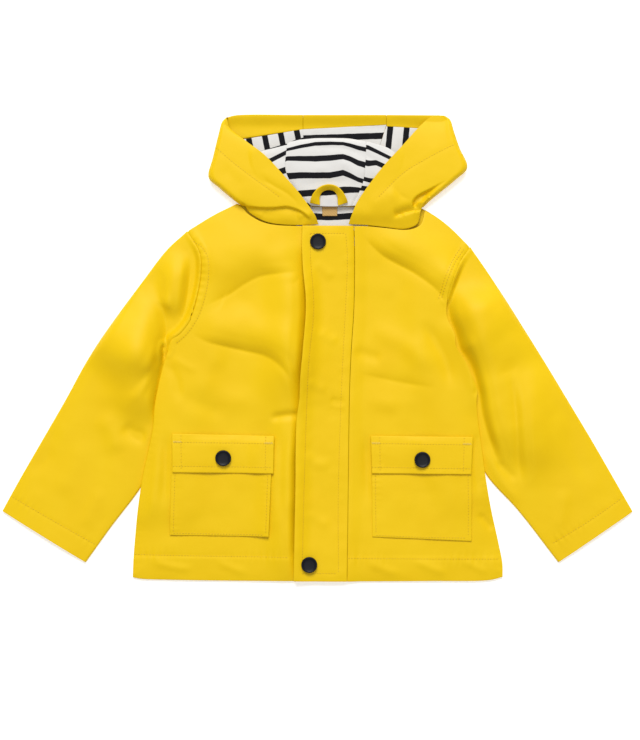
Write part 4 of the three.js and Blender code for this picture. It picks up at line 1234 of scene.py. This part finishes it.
def addHoodSide(name, neck, rows, faceRow, folds, rolls, steps, under, seed):
    count = {key: stepCount(n) for key, n in hoodSteps.items()}
    share = np.linspace(0, 1, count["along"] + 1)
    values = rowsAt(rows, share)
    seam, fold, face = values[:, 0:2], values[:, 2:4], values[:, 4:6]
    foldHeight, faceHeight = values[:, 6], values[:, 7]
    radius = (foldHeight + coatCloth) / 2
    inwards = (seam + face) / 2 - fold
    inwards /= np.linalg.norm(inwards, axis=1)[:, None]
    centre = fold + inwards * radius[:, None]
    neckLine = edgeOf(neck)
    lastFold, lastFace = np.array(rows[-1][2:4]), np.array(rows[-1][4:6])
    onNeck = np.clip((share - neckFrom) / (1 - neckFrom), 0, 1) ** 2
    wrinkles, swells, drops = foldField(folds), rollField(rolls), stepField(steps)
    groove, uneven = grooveField([faceRow]), softNoise(seed, size=34, height=0.22)
    columns = []
    for k in range(count["floor"] + 1):
        place = seam + (centre - seam) * k / count["floor"]
        columns.append(np.column_stack([place, rimRise(place[:, 0], place[:, 1])]))
    for k in range(1, count["roll"] + 1):
        angle = math.pi * (k / count["roll"] - 0.5)
        place = centre - inwards * (radius * math.cos(angle))[:, None]
        columns.append(np.column_stack([place, radius + radius * math.sin(angle)]))
    for k in range(1, count["top"] + 1):
        s = k / count["top"]
        straight = centre + (face - centre) * s
        ends = lastFold + (lastFace - lastFold) * s
        place = straight + onNeck[:, None] * (neckLine(np.array(s)) - ends)
        x, y = place[:, 0], place[:, 1]
        fromRoll, fromNeck = smoothStep(0, 0.15, s), 1 - smoothStep(0.9, 1.0, share) * 0.6
        crease = (wrinkles(x, y) + swells(x, y) + drops(x, y) + uneven(x, y)) * fromRoll * fromNeck
        profile = foldHeight + (faceHeight - foldHeight) * s + crease * smoothStep(0, 0.12, share)
        z = np.maximum(profile, under(x, y)) + coatCloth + groove(x, y)
        columns.append(np.column_stack([place, z]))
    points = np.stack(columns, 1)
    mark = np.dstack(np.meshgrid(np.linspace(0, 180, points.shape[1]), share * 110))
    piece = gridObject(name, points, mark)
    topFaces = [f.normal.z for f in piece.data.polygons if f.center.z > 0.004 and abs(f.normal.z) > 0.6]
    if sum(topFaces) < 0:
        piece.data.flip_normals()
    thicken(piece, coatCloth, 0.4)
    finishPiece(piece, name, coatFinish)
    pieces[name] = dict(top=points[:, count["floor"]:])
    tell(piece, points)


hoodContents = ("back_panel", "back_neck_lining", *facingTables, *liningTables, *crownTables)
underHood = restOn([pieces[name] for name in hoodContents], 0, 3)
for seed, (name, table) in enumerate(hoodTables.items()):
    addHoodSide(name, under=underHood, seed=90 + seed, **table)

# Hanger loop and neck tab

loopSet = dict(width=10.4, lean=62, steps=(8, 60), clear=0.4, rise=0.6, round=0.5)
loopArch = [(314.8, 204.8), (316.4, 197), (321, 191), (328, 188.6), (335, 190), (340, 195.5), (343, 204.8)]


def addLoop():
    u, v = gridUV(loopSet["steps"][0], loopSet["steps"][1])
    line = edgeOf(loopArch)
    place, ahead, behind = line(v), line(np.minimum(1, v + 0.01)), line(np.maximum(0, v - 0.01))
    way = (ahead - behind) / np.linalg.norm(ahead - behind, axis=-1)[..., None]
    lean = np.radians(loopSet["lean"]) * (1 - np.abs(2 * v - 1) ** 3)
    off = (u - 0.5) * loopSet["width"]
    x = place[..., 0] + off * np.cos(lean) * way[..., 1]
    y = place[..., 1] - off * np.cos(lean) * way[..., 0]
    rest = restOn([pieces[name] for name in crownTables], 1, 1, 0)
    base = rest(place[..., 0], place[..., 1]) + loopSet["clear"] + tapeCloth
    z = base + u * loopSet["width"] * np.sin(lean) * loopSet["rise"] + loopSet["round"] * np.sin(u * np.pi)
    points = np.dstack([x, y, z])
    piece = gridObject("hanger_loop", points, np.dstack([u * 9, v * 50]))
    thicken(piece, doubledCloth, 0.4)
    finishPiece(piece, "hanger_loop", coatFinish)


addLoop()
tabPlan = straightPlan([(322, 205.3), (337.6, 205.3), (337.2, 216), (322.4, 216)])
cloth("neck_tab", tabPlan, (15, 7), restOn([pieces["back_neck_lining"]], 1, 1), onFloor, tapeCloth,
      tapeFinish,
      step=0.5, edge=0.5)

# Ring snaps

snapSet = dict(
    profile=[(0, 1.5), (2.5, 1.52), (4.6, 1.62), (6.0, 1.85), (6.6, 2.2), (7.1, 2.35), (7.6, 2.2),
             (7.95, 1.7), (8.0, 0.9),
             (7.8, 0.25), (7.0, 0), (0, 0)],  # radius and height
    sides=48, clear=0.15)
snapTables = {
    "flap_snap_top": (318, 242, "storm_flap"),
    "flap_snap_bottom": (309.3, 564.2, "storm_flap"),
    "right_pocket_snap": (223.6, 457.8, "right_pocket_flap"),
    "left_pocket_snap": (421.9, 459.4, "left_pocket_flap"),
}


def addSnap(name, x, y, host):
    tops = mapOf([pieces[host]])
    ring = [(x + r * math.cos(a), y + r * math.sin(a)) for r in (2, 6, 8) for a in np.linspace(0, 6.28, 12)]
    rest = max(heightAt(tops, *at) for at in ring) + snapSet["clear"]
    bm = bmesh.new()
    verts = [bm.verts.new((r / 1000, 0, z / 1000)) for r, z in snapSet["profile"]]
    edges = [bm.edges.new((a, b)) for a, b in zip(verts, verts[1:])]
    bmesh.ops.spin(bm, geom=verts + edges, cent=(0, 0, 0), axis=(0, 0, 1), angle=math.tau,
                   steps=snapSet["sides"],
                   use_merge=True)
    bmesh.ops.remove_doubles(bm, verts=bm.verts, dist=1e-6)
    bmesh.ops.recalc_face_normals(bm, faces=bm.faces)
    bmesh.ops.translate(bm, verts=bm.verts, vec=tuple(placed([[x, y, rest]])[0]))
    finishPiece(objectFrom(name, bm), name, capFinish)


for name, table in snapTables.items():
    addSnap(name, *table)
print("snaps set")

# Sewing: each stitch is a small rounded bar that lies on its piece

sewOn("right_front", [armStitchRight, hemStitchRight])
sewOn("left_front", [armStitchLeft, armStitchLeft2, hemStitchLeft])
sewOn("storm_flap", [flapRowLeft, flapRowRight, flapRowTop, flapRowBottom])
for name, table in sleeveTables.items():
    sewOn(name, [table["hemLine"]])
for name, table in hoodTables.items():
    sewOn(name, [table["faceRow"]])


def stitchEnds(line, spacing, across):  # both ends of each stitch
    pts = smoothLine(line, 12)
    run = np.concatenate([[0], np.cumsum(np.linalg.norm(np.diff(pts, axis=0), axis=1))])
    for k in range(int(run[-1] / spacing)):
        first, last = (np.array([np.interp(s, run, pts[:, 0]), np.interp(s, run, pts[:, 1])])
                       for s in (k * spacing, k * spacing + (across or stitchSet["long"])))
        if across:
            way = (last - first) / np.linalg.norm(last - first)
            reach = np.array([way[1], -way[0]]) * across / 2 * (-1) ** k
            first, last = first + reach, first + way * spacing - reach
        yield first, last


def addStitch(bm, a, b):  # from a to b in the frame's metres
    along = b - a
    yaw, tilt = math.atan2(along[1], along[0]), math.atan2(along[2], math.hypot(along[0], along[1]))
    size = Matrix.Diagonal((np.linalg.norm(along) / 2, stitchSet["wide"] / 2000, stitchSet["tall"] / 2000, 1))
    turn = Matrix.Rotation(yaw, 4, "Z") @ Matrix.Rotation(-tilt, 4, "Y")
    bmesh.ops.create_icosphere(bm, subdivisions=1, radius=1,
                               matrix=Matrix.Translation((a + b) / 2) @ turn @ size)


def addStitches(name, rows, host, finish):
    tops = mapOf([pieces[host]])
    bm = bmesh.new()
    for row in rows:
        for ends in stitchEnds(*row):
            heights = [heightAt(tops, *end) for end in ends]
            if min(heights) > 0.5:  # both ends are on the piece
                addStitch(bm, *placed([[*end, height + 0.05] for end, height in zip(ends, heights)]))
    piece = objectFrom(name, bm)
    finishPiece(piece, name, finish)
    print(f"{name}: {len(piece.data.polygons)} faces")


for host in dict.fromkeys(row[0] for row in stitchRows):
    mine = [row[1:] for row in stitchRows if row[0] == host]
    addStitches(host + "_stitches", [row for row in mine if not row[2]], host, threadFinish)
    tacks = [row for row in mine if row[2]]
    if tacks:
        addStitches(host + "_tacks", tacks, host, tackFinish)

# Floor, light and the view's colours

# Each light is x, y, z, power and size, in metres and watts
lightSet = dict(key=(-0.2, 4.1, 4.8, 344, 3.2), fill=(0.0, -2.6, 3.6, 7.0, 3.0),
                top=(0.0, 0.0, 8.0, 86, 4.0), sky=0.385)


def addFloor():
    bm = bmesh.new()
    bmesh.ops.create_grid(bm, x_segments=1, y_segments=1, size=6)
    bmesh.ops.translate(bm, verts=bm.verts, vec=(0, 0, -0.0002))
    floor = objectFrom("floor", bm, smooth=False)
    finish, _, shader = newFinish("paleFloor")  # matte white board, lit a little from within
    shader.inputs["Base Color"].default_value = linear("#f7f7f6")
    shader.inputs["Roughness"].default_value = 0.9
    shader.inputs["Emission Color"].default_value = (1, 1, 1, 1)
    shader.inputs["Emission Strength"].default_value = 0.35
    floor.data.materials.append(finish)


def addLight(name, x, y, z, power, size):
    data = bpy.data.lights.new(name, "AREA")
    data.energy, data.size, data.shape = power, size, "DISK"
    light = bpy.data.objects.new(name, data)
    light.location = (x, y, z)
    light.rotation_euler = (-light.location).to_track_quat("-Z", "Y").to_euler()
    scene.collection.objects.link(light)


addFloor()
for name in ("key", "fill", "top"):
    addLight(name, *lightSet[name])
world = bpy.data.worlds.new("studio")
scene.world = world
world.use_nodes = True
world.node_tree.nodes["Background"].inputs["Color"].default_value = (1, 1, 1, 1)
world.node_tree.nodes["Background"].inputs["Strength"].default_value = lightSet["sky"]
scene.view_settings.view_transform = "Standard"
print("stage set")
